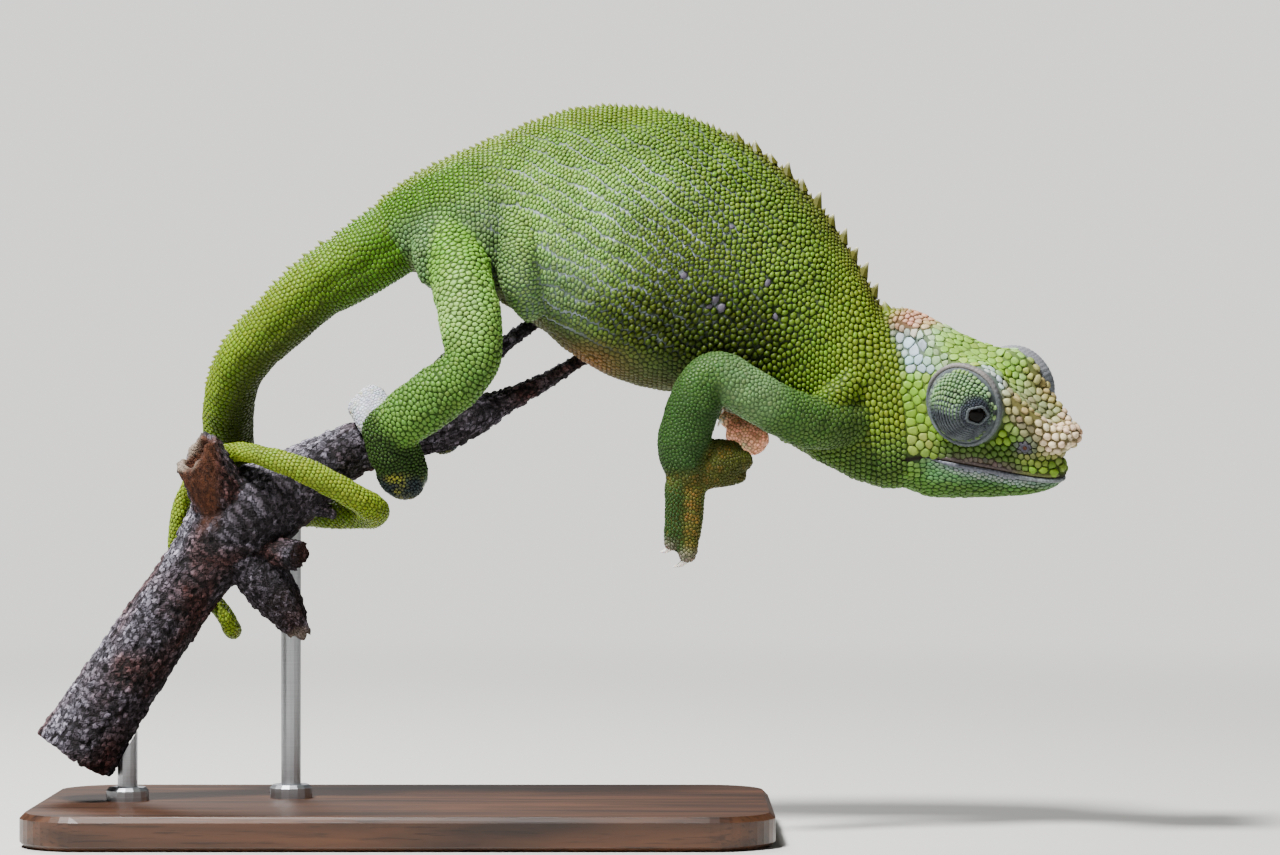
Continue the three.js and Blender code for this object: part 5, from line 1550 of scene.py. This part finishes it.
def baked(piece, tree, values, name):  # the node tree's result as a plain mesh
    change = piece.modifiers.new("nodes", "NODES")
    change.node_group = tree
    for key, value in values.items():
        change[key] = value
    mesh = bpy.data.meshes.new_from_object(piece.evaluated_get(bpy.context.evaluated_depsgraph_get()))
    bpy.data.objects.remove(piece)
    mesh.name = name
    return mesh


print("cones")
onto, lean, tall, wide = coneRows()
dots = bpy.data.meshes.new("coneDots")
dots.vertices.add(len(onto))
dots.vertices.foreach_set("co", (onto - lean * cones["sunk"]).astype(np.float32).ravel() * mm)
for word, values in (("lean", lean), ("size", np.stack([wide, wide, tall + cones["sunk"]], 1) * mm),
                     ("root", onto)):
    addAttribute(dots, word, values, "FLOAT_VECTOR")
tree, sockets = coneTree(scaleMaterial)
values = {sockets["Sides"]: cones["sides"], sockets["Rows"]: cones["rows"],
          sockets["Tip share"]: cones["tip"]}
coneMesh = baked(place(dots, "coneDots"), tree, values, "backCones")
local = readRows(coneMesh.attributes["local"].data, "vector", 3).astype(float)
rootAt = readRows(coneMesh.attributes["root"].data, "vector", 3).astype(float)
coneLook, nearGuide = readGuides(rootAt, 4)
tipShare = 0.75 * smooth(0.6, 1.0, local[:, 2])
coneTone = mixTone(mixTone(coneLook[:, tone], palette["ochre"], 0.2), palette["cream"], tipShare)
addAttribute(coneMesh, "tone", coneTone, "FLOAT_COLOR")
addAttribute(coneMesh, "rise", 0.35 + 0.6 * tipShare)
for layer in list(coneMesh.uv_layers):
    coneMesh.uv_layers.remove(layer)
putChart(coneMesh, guides["chart"][nearGuide] + scaleForm["chartReach"] * np.clip(local[:, :2], -1, 1))
backCones = place(coneMesh, "backCones")
print("cones", len(onto), "faces", len(coneMesh.polygons))

# The branch: x, y, z, radius along each length
branch = {
    "shaft": [[-49.5, 0, 11.8, 6.4], [-41.1, 0, 25.0, 5.65], [-31.8, 0, 38.6, 5.4], [-24.8, 0, 46.7, 7.2],
              [-17.2, 0, 51.8, 5.7], [-9, 0, 57.0, 4.1], [-1.5, 0, 59.6, 4.0], [6, 0, 61.6, 4.0],
              [10.5, 0.4, 62.9, 3.0], [14.7, 1.2, 64.7, 1.9],
              [20.9, 4.2, 67.9, 1.4], [27.85, 9.5, 72.2, 1.1]],
    "fork": [[5.2, 1, 62.8, 2.4], [9.6, 3, 68.4, 1.5], [14.8, 5, 73.4, 1.2], [18.8, 9, 76.6, 1.1],
             [23.2, 14, 79.6, 1.0]],
    "stub": [[-26.0, -0.5, 47.4, 4.8], [-28.2, -3.8, 52.6, 4.3], [-30.7, -5.8, 57.2, 3.9]],
    "round": [[-23.2, -1, 43.6, 2.8], [-18.6, -3.4, 42.4, 2.3], [-15.4, -5.2, 41.8, 2.5]],
    "peg": [[-23.4, -1, 41.5, 4.2], [-19, -1.5, 35.4, 3.6], [-15.6, -2, 30.0, 1.6]],
    "splinter": [[-15.8, -1, 50.3, 2.6], [-10.6, -2, 47.8, 0.6]],
    "voxel": 0.36, "ridge": 0.4, "ridgeWide": 0.75, "knots": 0.8,
    "torn": {"stub": (4.2, 0.62, 1.1), "peg": (2.2, 0.55, 0.9), "round": (0.5, 0.85, 0.3)},  # deep, wall, jag
}


def hollowEnd(rings, depth, wall, jag):  # a torn end: a ragged rim, then an inner wall down to a floor
    rings = rings.copy()
    sides = rings.shape[1]
    axis = unit(rings[-1].mean(0) - rings[-3].mean(0))
    angle = roundAngles(sides)
    rag = jag * (0.9 * np.sin(angle + 2.2) + 0.55 * np.sin(3 * angle + 0.6) + 0.35 * np.sin(7 * angle + 1.0))
    for k in range(1, 7):
        rings[-k] = rings[-k] + axis * (rag * (1 - (k - 1) / 6))[:, None]
    top, middle = rings[-1], rings[-1].mean(0)
    inner = [middle + (top - middle) * 0.93 + axis * 0.12]
    for share in np.linspace(0, 1, 9):
        hoop = middle + (top - middle) * (wall * (1 - 0.55 * share ** 2)) - axis * depth * share
        inner.append(hoop - axis * (rag * share)[:, None] * 0.8)
    return np.concatenate([rings, np.array(inner)])


def branchShapes():
    parts = {"shaft": tube(branch["shaft"], 0.6, 56, blunt=(False, True)),
             "fork": tube(branch["fork"], 0.5, 28),
             "splinter": tube(branch["splinter"], 0.4, 24)}
    for name, sides in (("stub", 48), ("peg", 40), ("round", 36)):
        parts[name] = hollowEnd(tube(branch[name], 0.4, sides, blunt=(True, False)), *branch["torn"][name])
    return parts


def barkTree():  # ridged bark along the branch, a little lumpy as well
    tree = bpy.data.node_groups.new("barkRelief", "GeometryNodeTree")
    tree.interface.new_socket("Geometry", in_out="INPUT", socket_type="NodeSocketGeometry")
    ids = {}
    for word in ("Ridge height", "Ridge width", "Lump height"):
        ids[word] = tree.interface.new_socket(word, in_out="INPUT", socket_type="NodeSocketFloat").identifier
    tree.interface.new_socket("Geometry", in_out="OUTPUT", socket_type="NodeSocketGeometry")
    given = addNode(tree, "NodeGroupInput")
    grain = addNode(tree, "GeometryNodeInputNamedAttribute", {"data_type": "FLOAT_VECTOR", "Name": "grain"})
    lengthwise = {"Vector": (grain, "Attribute")}
    torn = addNode(tree, "GeometryNodeInputNamedAttribute", {"data_type": "FLOAT", "Name": "torn"})
    perWidth = addNode(tree, "ShaderNodeMath", {"operation": "DIVIDE", 0: 1.0}, {1: (given, "Ridge width")})
    cracks = addNode(tree, "ShaderNodeTexVoronoi", {"feature": "DISTANCE_TO_EDGE", "Randomness": 1.0},
                     {"Vector": (grain, "Attribute"), "Scale": (perWidth, 0)})
    edge = addNode(tree, "ShaderNodeMapRange", {1: 0.0, 2: 0.32, 3: -0.6, 4: 0.4}, {0: (cracks, "Distance")})
    fine = addNode(tree, "ShaderNodeTexNoise", {"Scale": 1.1, "Detail": 5.0, "Roughness": 0.65},
                   lengthwise)
    fineMid = addNode(tree, "ShaderNodeMath", {"operation": "SUBTRACT", 1: 0.5}, {0: (fine, "Fac")})
    both = addNode(tree, "ShaderNodeMath", {"operation": "MULTIPLY_ADD", 1: 2.2},
                   {0: (fineMid, 0), 2: (edge, 0)})
    high = addNode(tree, "ShaderNodeMath", {"operation": "MULTIPLY"},
                   {0: (both, 0), 1: (given, "Ridge height")})
    lump = addNode(tree, "ShaderNodeTexNoise", {"Scale": 0.16, "Detail": 2.0}, lengthwise)
    lumpMid = addNode(tree, "ShaderNodeMath", {"operation": "SUBTRACT", 1: 0.5}, {0: (lump, "Fac")})
    lumps = addNode(tree, "ShaderNodeMath", {"operation": "MULTIPLY"},
                    {0: (lumpMid, 0), 1: (given, "Lump height")})
    total = addNode(tree, "ShaderNodeMath", {"operation": "ADD"}, {0: (high, 0), 1: (lumps, 0)})
    whole = addNode(tree, "ShaderNodeMath", {"operation": "MULTIPLY_ADD", 1: -0.6, 2: 1.0},
                    {0: (torn, "Attribute")})
    calm = addNode(tree, "ShaderNodeMath", {"operation": "MULTIPLY"}, {0: (total, 0), 1: (whole, 0)})
    normal = addNode(tree, "GeometryNodeInputNormal")
    move = addNode(tree, "ShaderNodeVectorMath", {"operation": "SCALE"},
                   {0: (normal, "Normal"), "Scale": (calm, 0)})
    kept = addNode(tree, "GeometryNodeStoreNamedAttribute", {"data_type": "FLOAT", "Name": "ridge"},
                   {"Geometry": (given, "Geometry"), "Value": (both, 0)})
    moved = addNode(tree, "GeometryNodeSetPosition", None,
                    {"Geometry": (kept, "Geometry"), "Offset": (move, 0)})
    real = addNode(tree, "GeometryNodeRealizeInstances", None, {"Geometry": (moved, "Geometry")})
    finish = addNode(tree, "GeometryNodeSetMaterial", {"Material": barkMaterial},
                     {"Geometry": (real, "Geometry")})
    addNode(tree, "NodeGroupOutput", None, {"Geometry": (finish, "Geometry")})
    return tree, ids


def deadBark():  # weathered bark: dull grey-lilac ridges, near-black cracks, rusty patches, fresh torn wood, a painted highlight on the side facing the upper left and painted shade round the knot
    material, tree, shader = startMaterial("deadBark",
                                           {"Roughness": 0.85, "IOR": 1.45, "Specular IOR Level": 0.25})
    coords = addNode(tree, "ShaderNodeTexCoord")
    here = {"Vector": (coords, "Object")}
    grain = addNode(tree, "ShaderNodeAttribute", {"attribute_name": "grain"})
    lengthwise = {"Vector": (grain, "Vector")}
    ridge = addNode(tree, "ShaderNodeAttribute", {"attribute_name": "ridge"})
    torn = addNode(tree, "ShaderNodeAttribute", {"attribute_name": "torn"})
    pale = addNode(tree, "ShaderNodeAttribute", {"attribute_name": "pale"})
    tint = addNode(tree, "ShaderNodeTexNoise", {"Scale": 0.9, "Detail": 6.0, "Roughness": 0.75}, lengthwise)
    greys = addNode(tree, "ShaderNodeValToRGB", None, {"Fac": (tint, "Fac")})
    setRamp(greys, (0.34, "#33292c"), (0.66, "#77707d"))
    # painted highlight: pale lilac mixed in on the bark that faces the upper left
    weather = addNode(tree, "ShaderNodeAttribute", {"attribute_name": "weather"})
    litSideHighlight = addNode(tree, "ShaderNodeMix", {"data_type": "RGBA", 7: colour("#a39dad")},
                       {0: (weather, "Fac"), 6: (greys, "Color")})
    rustWhere = addNode(tree, "ShaderNodeTexNoise", {"Scale": 0.13, "Detail": 3.0}, lengthwise)
    rustShare = addNode(tree, "ShaderNodeMapRange", {1: 0.5, 2: 0.62, 3: 0.0, 4: 0.7},
                        {0: (rustWhere, "Fac")})
    rusty = addNode(tree, "ShaderNodeMix", {"data_type": "RGBA", 7: colour("#5d2e20")},
                    {0: (rustShare, 0), 6: (litSideHighlight, 2)})
    fleck = addNode(tree, "ShaderNodeTexNoise", {"Scale": 2.6, "Detail": 4.0, "Roughness": 0.75}, lengthwise)
    speck = addNode(tree, "ShaderNodeMapRange", {1: 0.38, 2: 0.62, 3: 0.3, 4: 1.6}, {0: (fleck, "Fac")})
    # painted shade round the knot darkens the bark to six tenths
    shaded = addNode(tree, "ShaderNodeAttribute", {"attribute_name": "knot"})
    knotShadeDarken = addNode(tree, "ShaderNodeMapRange", {1: 0.0, 2: 1.0, 3: 1.0, 4: 0.6}, {0: (shaded, "Fac")})
    bothDark = addNode(tree, "ShaderNodeMath", {"operation": "MULTIPLY"}, {0: (speck, 0), 1: (knotShadeDarken, 0)})
    lit = addNode(tree, "ShaderNodeVectorMath", {"operation": "SCALE"},
                  {0: (rusty, 2), "Scale": (bothDark, 0)})
    flakes = addNode(tree, "ShaderNodeTexVoronoi", {"feature": "DISTANCE_TO_EDGE", "Scale": 2.2}, lengthwise)
    fineCrack = addNode(tree, "ShaderNodeMapRange", {1: 0.02, 2: 0.2, 3: 0.1, 4: 1.0},
                        {0: (flakes, "Distance")})
    cracked = addNode(tree, "ShaderNodeVectorMath", {"operation": "SCALE"},
                      {0: (lit, 0), "Scale": (fineCrack, 0)})
    crack = addNode(tree, "ShaderNodeMapRange", {1: -0.75, 2: 0.05, 3: 1.0, 4: 0.0}, {0: (ridge, "Fac")})
    dark = addNode(tree, "ShaderNodeMix", {"data_type": "RGBA", 7: colour("#100c0d")},
                   {0: (crack, 0), 6: (cracked, 0)})
    fibre = addNode(tree, "ShaderNodeTexNoise", {"Scale": 2.4, "Detail": 3.0}, lengthwise)
    wood = addNode(tree, "ShaderNodeValToRGB", None, {"Fac": (fibre, "Fac")})
    setRamp(wood, (0.3, "#1d0f0a"), (0.7, "#633a26"))
    fresh = addNode(tree, "ShaderNodeMix", {"data_type": "RGBA"},
                    {0: (torn, "Fac"), 6: (dark, 2), 7: (wood, "Color")})
    # pale rims of the torn ends: pale wood, on the stub partly a painted highlight
    rim = addNode(tree, "ShaderNodeMix", {"data_type": "RGBA", 7: colour("#9d8f80")},
                  {0: (pale, "Fac"), 6: (fresh, 2)})
    tree.links.new(rim.outputs[2], shader.inputs["Base Color"])
    rough = addNode(tree, "ShaderNodeTexNoise", {"Scale": 3200.0, "Detail": 4.0}, here)
    relief = addNode(tree, "ShaderNodeMath", {"operation": "MULTIPLY_ADD", 1: 0.8},
                     {0: (fineCrack, 0), 2: (rough, "Fac")})
    bump = addNode(tree, "ShaderNodeBump", {"Strength": 0.8, "Distance": 0.3 * mm}, {"Height": (relief, 0)})
    tree.links.new(bump.outputs[0], shader.inputs["Normal"])
    return material


print("branch")
barkMaterial = deadBark()
shapes = branchShapes()
barkMesh = remeshed("perchBranch", list(shapes.values()), branch["voxel"])
barkPoints = relaxed(barkMesh, 2)
setPoints(barkMesh, barkPoints)
barkLow = barkPoints / mm
ringAt, ringAlong, ringTurn = [], [], []
for number, rings in enumerate(shapes.values()):
    middle = rings.mean(1)
    ringAt.append(rings.reshape(-1, 3))
    ringAlong.append(np.repeat(runOf(middle) + 40 * number, rings.shape[1]))
    ringTurn.append((rings - middle[:, None]).reshape(-1, 3))
ringAt, ringAlong, ringTurn = (np.concatenate(v) for v in (ringAt, ringAlong, ringTurn))
nearest = nearestIn(treeOf(ringAt), barkLow, 4)[0][:, 0]
alongBark, aroundBark = ringAlong[nearest], ringTurn[nearest]
grain = np.stack([alongBark * 0.42, aroundBark[:, 0] * 0.8 + aroundBark[:, 2] * 0.6, aroundBark[:, 1]], 1)
addAttribute(barkMesh, "grain", grain, "FLOAT_VECTOR")
stubTop, pegTop = np.array(branch["stub"][-1][:3]), np.array(branch["peg"][-1][:3])
stubAxis = unit(stubTop - np.array(branch["stub"][-2][:3]))
fromStub = barkLow - (stubTop - stubAxis * 0.4)
insideStub = smooth(3.3, 2.7, np.linalg.norm(fromStub - (fromStub @ stubAxis)[:, None] * stubAxis, axis=1))
insideStub *= smooth(-5.5, -4.5, fromStub @ stubAxis)


def barkGap(place):  # how far the bark is from a place
    return np.linalg.norm(barkLow - place, axis=1)


face = smooth(-2.0, -3.2, barkLow[:, 1] - barkLow[:, 0] * 0.2 - 3.2) * smooth(-26.2, -28.2, barkLow[:, 0])
face *= smooth(9.5, 5.5, barkGap([-31.6, -7.5, 53.5]))
pegNear = smooth(7.0, 3.5, barkGap(pegTop + [-0.5, -1.0, 2.0]))
roundEnd = smooth(2.9, 2.2, barkGap([-14.2, -5.9, 41.6]))
addAttribute(barkMesh, "torn", np.clip(np.maximum.reduce([insideStub, face, 0.08 * pegNear, 0.2 * roundEnd]),
                                       0, 1))
# the stub's torn rim is pale only on its upper left: pale wood, partly a painted highlight
stubRimPaleAndLit = smooth(-0.9, 0.1, fromStub @ stubAxis) * smooth(6, 5, np.linalg.norm(fromStub, axis=1))
stubRimPaleAndLit *= smooth(-29.5, -31.5, barkLow[:, 0])
rimPeg = smooth(2.6, 1.2, barkGap(pegTop - [0, 0, 0.6]))
addAttribute(barkMesh, "pale", np.clip(np.maximum(0.75 * stubRimPaleAndLit, 0.5 * rimPeg), 0, 1))
# painted shade: the bark is darkened round the knot where the stub and the peg meet, and over the peg
knotShadeShare = spot(barkLow[:, 0], barkLow[:, 2], (-20.5, 45.0), (6.0, 7.0), 3)
knotShadeShare += spot(barkLow[:, 0], barkLow[:, 2], (-18, 36), (3.5, 4.0), 3)
addAttribute(barkMesh, "knot", np.clip(knotShadeShare, 0, 1))
# painted highlight: how far the bark faces the upper left, left out in the painted shade round the knot
facingLight = readRows(barkMesh.vertices, "normal", 3) @ unit(np.array([-0.8, -0.15, 0.58]))
addAttribute(barkMesh, "weather", 0.75 * smooth(0.25, 0.95, facingLight) * (1 - np.clip(knotShadeShare, 0, 1)))
tree, ids = barkTree()
values = {ids["Ridge height"]: branch["ridge"] * mm, ids["Ridge width"]: branch["ridgeWide"],
          ids["Lump height"]: branch["knots"] * mm}
perchBranch = place(baked(place(barkMesh, "barkBlank"), tree, values, "perchBranch"), "perchBranch")
perchBranch.data.shade_smooth()
print("branch faces", len(perchBranch.data.polygons))


def lidLeather():  # bare wrinkled lid skin: matt, set with grains a quarter of a millimetre wide
    material, tree, shader = startMaterial("lidLeather",
                                           {"Roughness": 0.5, "IOR": 1.45, "Specular IOR Level": 0.3})
    toneIn = addNode(tree, "ShaderNodeAttribute", {"attribute_name": "tone"})
    coords = addNode(tree, "ShaderNodeTexCoord")
    here = {"Vector": (coords, "Object")}
    grains = addNode(tree, "ShaderNodeTexVoronoi", {"Scale": 1000 / 0.27, "Randomness": 0.8},
                     here)
    raised = addNode(tree, "ShaderNodeMapRange", {1: 0.0, 2: 0.6, 3: 1.0, 4: 0.0}, {0: (grains, "Distance")})
    shade = addNode(tree, "ShaderNodeMapRange", {1: 0.0, 2: 1.0, 3: 0.72, 4: 1.12}, {0: (raised, 0)})
    cloud = addNode(tree, "ShaderNodeTexNoise", {"Scale": 420.0, "Detail": 3.0}, here)
    spread = addNode(tree, "ShaderNodeMapRange", {1: 0.3, 2: 0.7, 3: 0.85, 4: 1.15}, {0: (cloud, "Fac")})
    both = addNode(tree, "ShaderNodeMath", {"operation": "MULTIPLY"}, {0: (shade, 0), 1: (spread, 0)})
    lit = addNode(tree, "ShaderNodeVectorMath", {"operation": "SCALE"},
                  {0: (toneIn, "Color"), "Scale": (both, 0)})
    tree.links.new(lit.outputs[0], shader.inputs["Base Color"])
    bump = addNode(tree, "ShaderNodeBump", {"Strength": 0.6, "Distance": 0.05 * mm}, {"Height": (raised, 0)})
    tree.links.new(bump.outputs[0], shader.inputs["Normal"])
    return material


def lipSkin():  # smooth moist lip, softly creased across
    material, tree, shader = startMaterial("lipSkin",
                                           {"Roughness": 0.4, "IOR": 1.45, "Specular IOR Level": 0.35})
    toneIn = addNode(tree, "ShaderNodeAttribute", {"attribute_name": "tone"})
    coords = addNode(tree, "ShaderNodeTexCoord")
    here = {"Vector": (coords, "Object")}
    cells = addNode(tree, "ShaderNodeTexVoronoi", {"Scale": 1000 / 0.5, "Randomness": 0.7},
                    here)
    raised = addNode(tree, "ShaderNodeMapRange", {1: 0.1, 2: 0.62, 3: 1.0, 4: 0.0}, {0: (cells, "Distance")})
    cloud = addNode(tree, "ShaderNodeTexNoise", {"Scale": 1400.0, "Detail": 3.0}, here)
    spread = addNode(tree, "ShaderNodeMapRange", {1: 0.3, 2: 0.7, 3: 0.78, 4: 1.2}, {0: (cloud, "Fac")})
    # painted shade: the lip darkens to six tenths towards the creases between its cells
    cellEdgeShade = addNode(tree, "ShaderNodeMapRange", {3: 0.6, 4: 1.05}, {0: (raised, 0)})
    both = addNode(tree, "ShaderNodeMath", {"operation": "MULTIPLY"}, {0: (spread, 0), 1: (cellEdgeShade, 0)})
    lit = addNode(tree, "ShaderNodeVectorMath", {"operation": "SCALE"},
                  {0: (toneIn, "Color"), "Scale": (both, 0)})
    tree.links.new(lit.outputs[0], shader.inputs["Base Color"])
    bump = addNode(tree, "ShaderNodeBump", {"Strength": 0.7, "Distance": 0.08 * mm}, {"Height": (raised, 0)})
    tree.links.new(bump.outputs[0], shader.inputs["Normal"])
    return material


def wetCornea():  # a wet dark eye with a thin bronze iris, mirror smooth
    material, tree, shader = startMaterial("wetCornea", {
        "Roughness": 0.12, "IOR": 1.36, "Specular IOR Level": 0.15})
    ring = addNode(tree, "ShaderNodeAttribute", {"attribute_name": "tone"})
    bands = addNode(tree, "ShaderNodeValToRGB", None, {"Fac": (ring, "Fac")})
    setRamp(bands, (0.17, "#060504"), (0.21, "#1c120a"), (0.27, "#070504"))
    tree.links.new(bands.outputs["Color"], shader.inputs["Base Color"])
    return material


def clawHorn():  # translucent pale horn, greyer at the root
    material, tree, shader = startMaterial("clawHorn", {
        "Roughness": 0.32, "IOR": 1.54, "Subsurface Weight": 0.15, "Subsurface Scale": 0.0008})
    along = addNode(tree, "ShaderNodeAttribute", {"attribute_name": "tone"})
    coords = addNode(tree, "ShaderNodeTexCoord")
    here = {"Vector": (coords, "Object")}
    streak = addNode(tree, "ShaderNodeTexNoise", {"Scale": 1500.0, "Detail": 3.0}, here)
    mixed = addNode(tree, "ShaderNodeMath", {"operation": "MULTIPLY_ADD", 1: 0.3},
                    {0: (streak, "Fac"), 2: (along, "Fac")})
    bands = addNode(tree, "ShaderNodeValToRGB", None, {"Fac": (mixed, 0)})
    setRamp(bands, (0.1, "#b9a992"), (0.7, "#f1ece2"))
    tree.links.new(bands.outputs["Color"], shader.inputs["Base Color"])
    bump = addNode(tree, "ShaderNodeBump", {"Strength": 0.3, "Distance": 0.03 * mm},
                   {"Height": (streak, "Fac")})
    tree.links.new(bump.outputs[0], shader.inputs["Normal"])
    return material


def oiledWalnut():  # planed and oiled walnut: brown figure along the base, fine open pores
    material, tree, shader = startMaterial("oiledWalnut", {
        "Roughness": 0.38, "IOR": 1.48, "Coat Weight": 0.15, "Coat Roughness": 0.25})
    coords = addNode(tree, "ShaderNodeTexCoord")
    here = {"Vector": (coords, "Object")}
    stretchMap = addNode(tree, "ShaderNodeMapping", {"Scale": (22.0, 260.0, 260.0)}, here)
    warp = addNode(tree, "ShaderNodeTexNoise", {"Scale": 1.0, "Detail": 4.0, "Distortion": 0.6},
                   {"Vector": (stretchMap, "Vector")})
    figure = addNode(tree, "ShaderNodeValToRGB", None, {"Fac": (warp, "Fac")})
    setRamp(figure, (0.3, "#24150d"), (0.72, "#5a3823"))
    poreMap = addNode(tree, "ShaderNodeMapping", {"Scale": (140.0, 2600.0, 2600.0)}, here)
    pores = addNode(tree, "ShaderNodeTexNoise", {"Scale": 1.0, "Detail": 2.0},
                    {"Vector": (poreMap, "Vector")})
    openPores = addNode(tree, "ShaderNodeMapRange", {1: 0.34, 2: 0.44, 3: 0.55, 4: 1.0}, {0: (pores, "Fac")})
    lit = addNode(tree, "ShaderNodeVectorMath", {"operation": "SCALE"},
                  {0: (figure, "Color"), "Scale": (openPores, 0)})
    tree.links.new(lit.outputs[0], shader.inputs["Base Color"])
    bump = addNode(tree, "ShaderNodeBump", {"Strength": 0.25, "Distance": 0.05 * mm},
                   {"Height": (openPores, 0)})
    tree.links.new(bump.outputs[0], shader.inputs["Normal"])
    return material


def brushedSteel():  # turned stainless rod, brushed round: a bright narrow highlight
    material, tree, shader = startMaterial("brushedSteel", {"Metallic": 1.0, "Roughness": 0.3})
    coords = addNode(tree, "ShaderNodeTexCoord")
    here = {"Vector": (coords, "Object")}
    lay = addNode(tree, "ShaderNodeMapping", {"Scale": (60.0, 60.0, 9000.0)}, here)
    lines = addNode(tree, "ShaderNodeTexNoise", {"Scale": 1.0, "Detail": 2.0}, {"Vector": (lay, "Vector")})
    metal = addNode(tree, "ShaderNodeMix", {"data_type": "RGBA", 6: colour("#9b9ea2"), 7: colour("#c9cbce")},
                    {0: (lines, "Fac")})
    tree.links.new(metal.outputs[2], shader.inputs["Base Color"])
    rough = addNode(tree, "ShaderNodeMapRange", {1: 0.3, 2: 0.7, 3: 0.34, 4: 0.46}, {0: (lines, "Fac")})
    tree.links.new(rough.outputs[0], shader.inputs["Roughness"])
    bump = addNode(tree, "ShaderNodeBump", {"Strength": 0.15, "Distance": 0.01 * mm},
                   {"Height": (lines, "Fac")})
    tree.links.new(bump.outputs[0], shader.inputs["Normal"])
    return material


print("finishes")
lidMaterial = lidLeather()
for piece, material in ((eyeLids, lidMaterial), (nostrilRings, lidMaterial), (lipBands, lipSkin()),
                        (eyes, wetCornea()), (clawPiece, clawHorn())):
    piece.data.materials.append(material)
walnut, steel = oiledWalnut(), brushedSteel()
for name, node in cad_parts.items():
    if name.startswith("stand_"):
        for socket in node.material_slots:
            socket.material = walnut if name == "stand_base" else steel


# Camera, floor and lights
camera = {"at": (0.03525, -0.62, 0.0609), "lens": 116.25, "sensor": 36.0}
eye = bpy.data.cameras.new("camera")
eye.lens, eye.sensor_width, eye.clip_start = camera["lens"], camera["sensor"], 0.02
eyeObject = place(eye, "camera")
eyeObject.location = camera["at"]
eyeObject.rotation_euler = (math.radians(90), 0, 0)
bpy.context.scene.camera = eyeObject

stage = {"half": 12.0, "litTo": 0.12, "fadedAt": 0.6, "paper": "#cfcecb", "glow": 2.2}


def makeFloor():
    half = stage["half"]
    corners = np.array([[-half, -half, 0], [half, -half, 0], [half, half, 0], [-half, half, 0]])
    return place(meshOf("floor", corners, [np.array([[0, 1, 2, 3]])]), "floor")


def paintedPaper():  # matt pale paper, which fades into an evenly lit distance
    material, tree, shader = startMaterial("palePaper", {"Roughness": 0.9, "Specular IOR Level": 0.1})
    coords = addNode(tree, "ShaderNodeTexCoord")
    here = {"Vector": (coords, "Object")}
    grain = addNode(tree, "ShaderNodeTexNoise", {"Scale": 900.0, "Detail": 2.0}, here)
    mix = addNode(tree, "ShaderNodeMix", {"data_type": "RGBA", 6: colour("#c6c5c1"), 7: colour("#cecdc9")},
                  {0: (grain, "Fac")})
    tree.links.new(mix.outputs[2], shader.inputs["Base Color"])
    far = addNode(tree, "ShaderNodeVectorMath", {"operation": "LENGTH"}, {0: (coords, "Object")})
    fade = addNode(tree, "ShaderNodeMapRange", {"interpolation_type": "SMOOTHSTEP", 1: stage["litTo"],
                                                2: stage["fadedAt"]}, {0: (far, "Value")})
    path = addNode(tree, "ShaderNodeLightPath")
    share = addNode(tree, "ShaderNodeMath", {"operation": "MULTIPLY"},
                    {0: (fade, 0), 1: (path, "Is Camera Ray")})
    glow = addNode(tree, "ShaderNodeEmission", {"Color": colour(stage["paper"]), "Strength": stage["glow"]})
    both = addNode(tree, "ShaderNodeMixShader", None,
                   {0: (share, 0), 1: (shader, "BSDF"), 2: (glow, "Emission")})
    tree.links.new(both.outputs[0], tree.nodes["Material Output"].inputs["Surface"])
    return material


floor = makeFloor()
floor.data.materials.append(paintedPaper())

lamps = {
    "key": {"at": (-0.20, -0.24, 0.60), "power": 13.5, "size": 0.12},
    "front": {"at": (0.50, -0.60, 0.26), "power": 0.4, "size": 0.4},
    "rim": {"at": (-0.15, 0.38, 0.48), "power": 3.6, "size": 0.3},
}
for name, lamp in lamps.items():
    light = bpy.data.lights.new(name, "AREA")
    light.shape, light.size, light.energy = "DISK", lamp["size"], lamp["power"]
    lightObject = place(light, name)
    lightObject.location = lamp["at"]
    aim = Vector((0.03, 0, 0.075)) - Vector(lamp["at"])
    lightObject.rotation_euler = aim.to_track_quat("-Z", "Y").to_euler()
world = bpy.data.worlds.new("studio")
world.use_nodes = True
world.node_tree.nodes.clear()
dim = addNode(world.node_tree, "ShaderNodeBackground", {"Color": colour("#e8ecf2"), "Strength": 0.07})
pale = addNode(world.node_tree, "ShaderNodeBackground",
               {"Color": colour(stage["paper"]), "Strength": stage["glow"]})
path = addNode(world.node_tree, "ShaderNodeLightPath")
seen = addNode(world.node_tree, "ShaderNodeMixShader", None,
               {0: (path, "Is Camera Ray"), 1: (dim, "Background"), 2: (pale, "Background")})
addNode(world.node_tree, "ShaderNodeOutputWorld", None, {"Surface": (seen, "Shader")})
bpy.context.scene.world = world

flesh = [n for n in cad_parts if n.startswith(("head", "lower_jaw", "turret", "neck", "trunk", "tail",
                                                    "upper_leg", "lower_leg", "foot"))]
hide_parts(*flesh)
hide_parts("eye_right", "eye_left")
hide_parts(*[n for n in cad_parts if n.startswith("claw_")])
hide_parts("perch_branch")
for piece, slotName in ((bodySkin, "body_skin"), (eyes, "eyeball"), (clawPiece, "claw_horn"),
                        (perchBranch, "bark"), (eyeLids, "head_skin"), (lipBands, "head_skin"),
                        (nostrilRings, "head_skin"), (backCones, "body_skin")):
    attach(piece, "root")
for name, piece in scalePieces.items():
    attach(piece, "root")
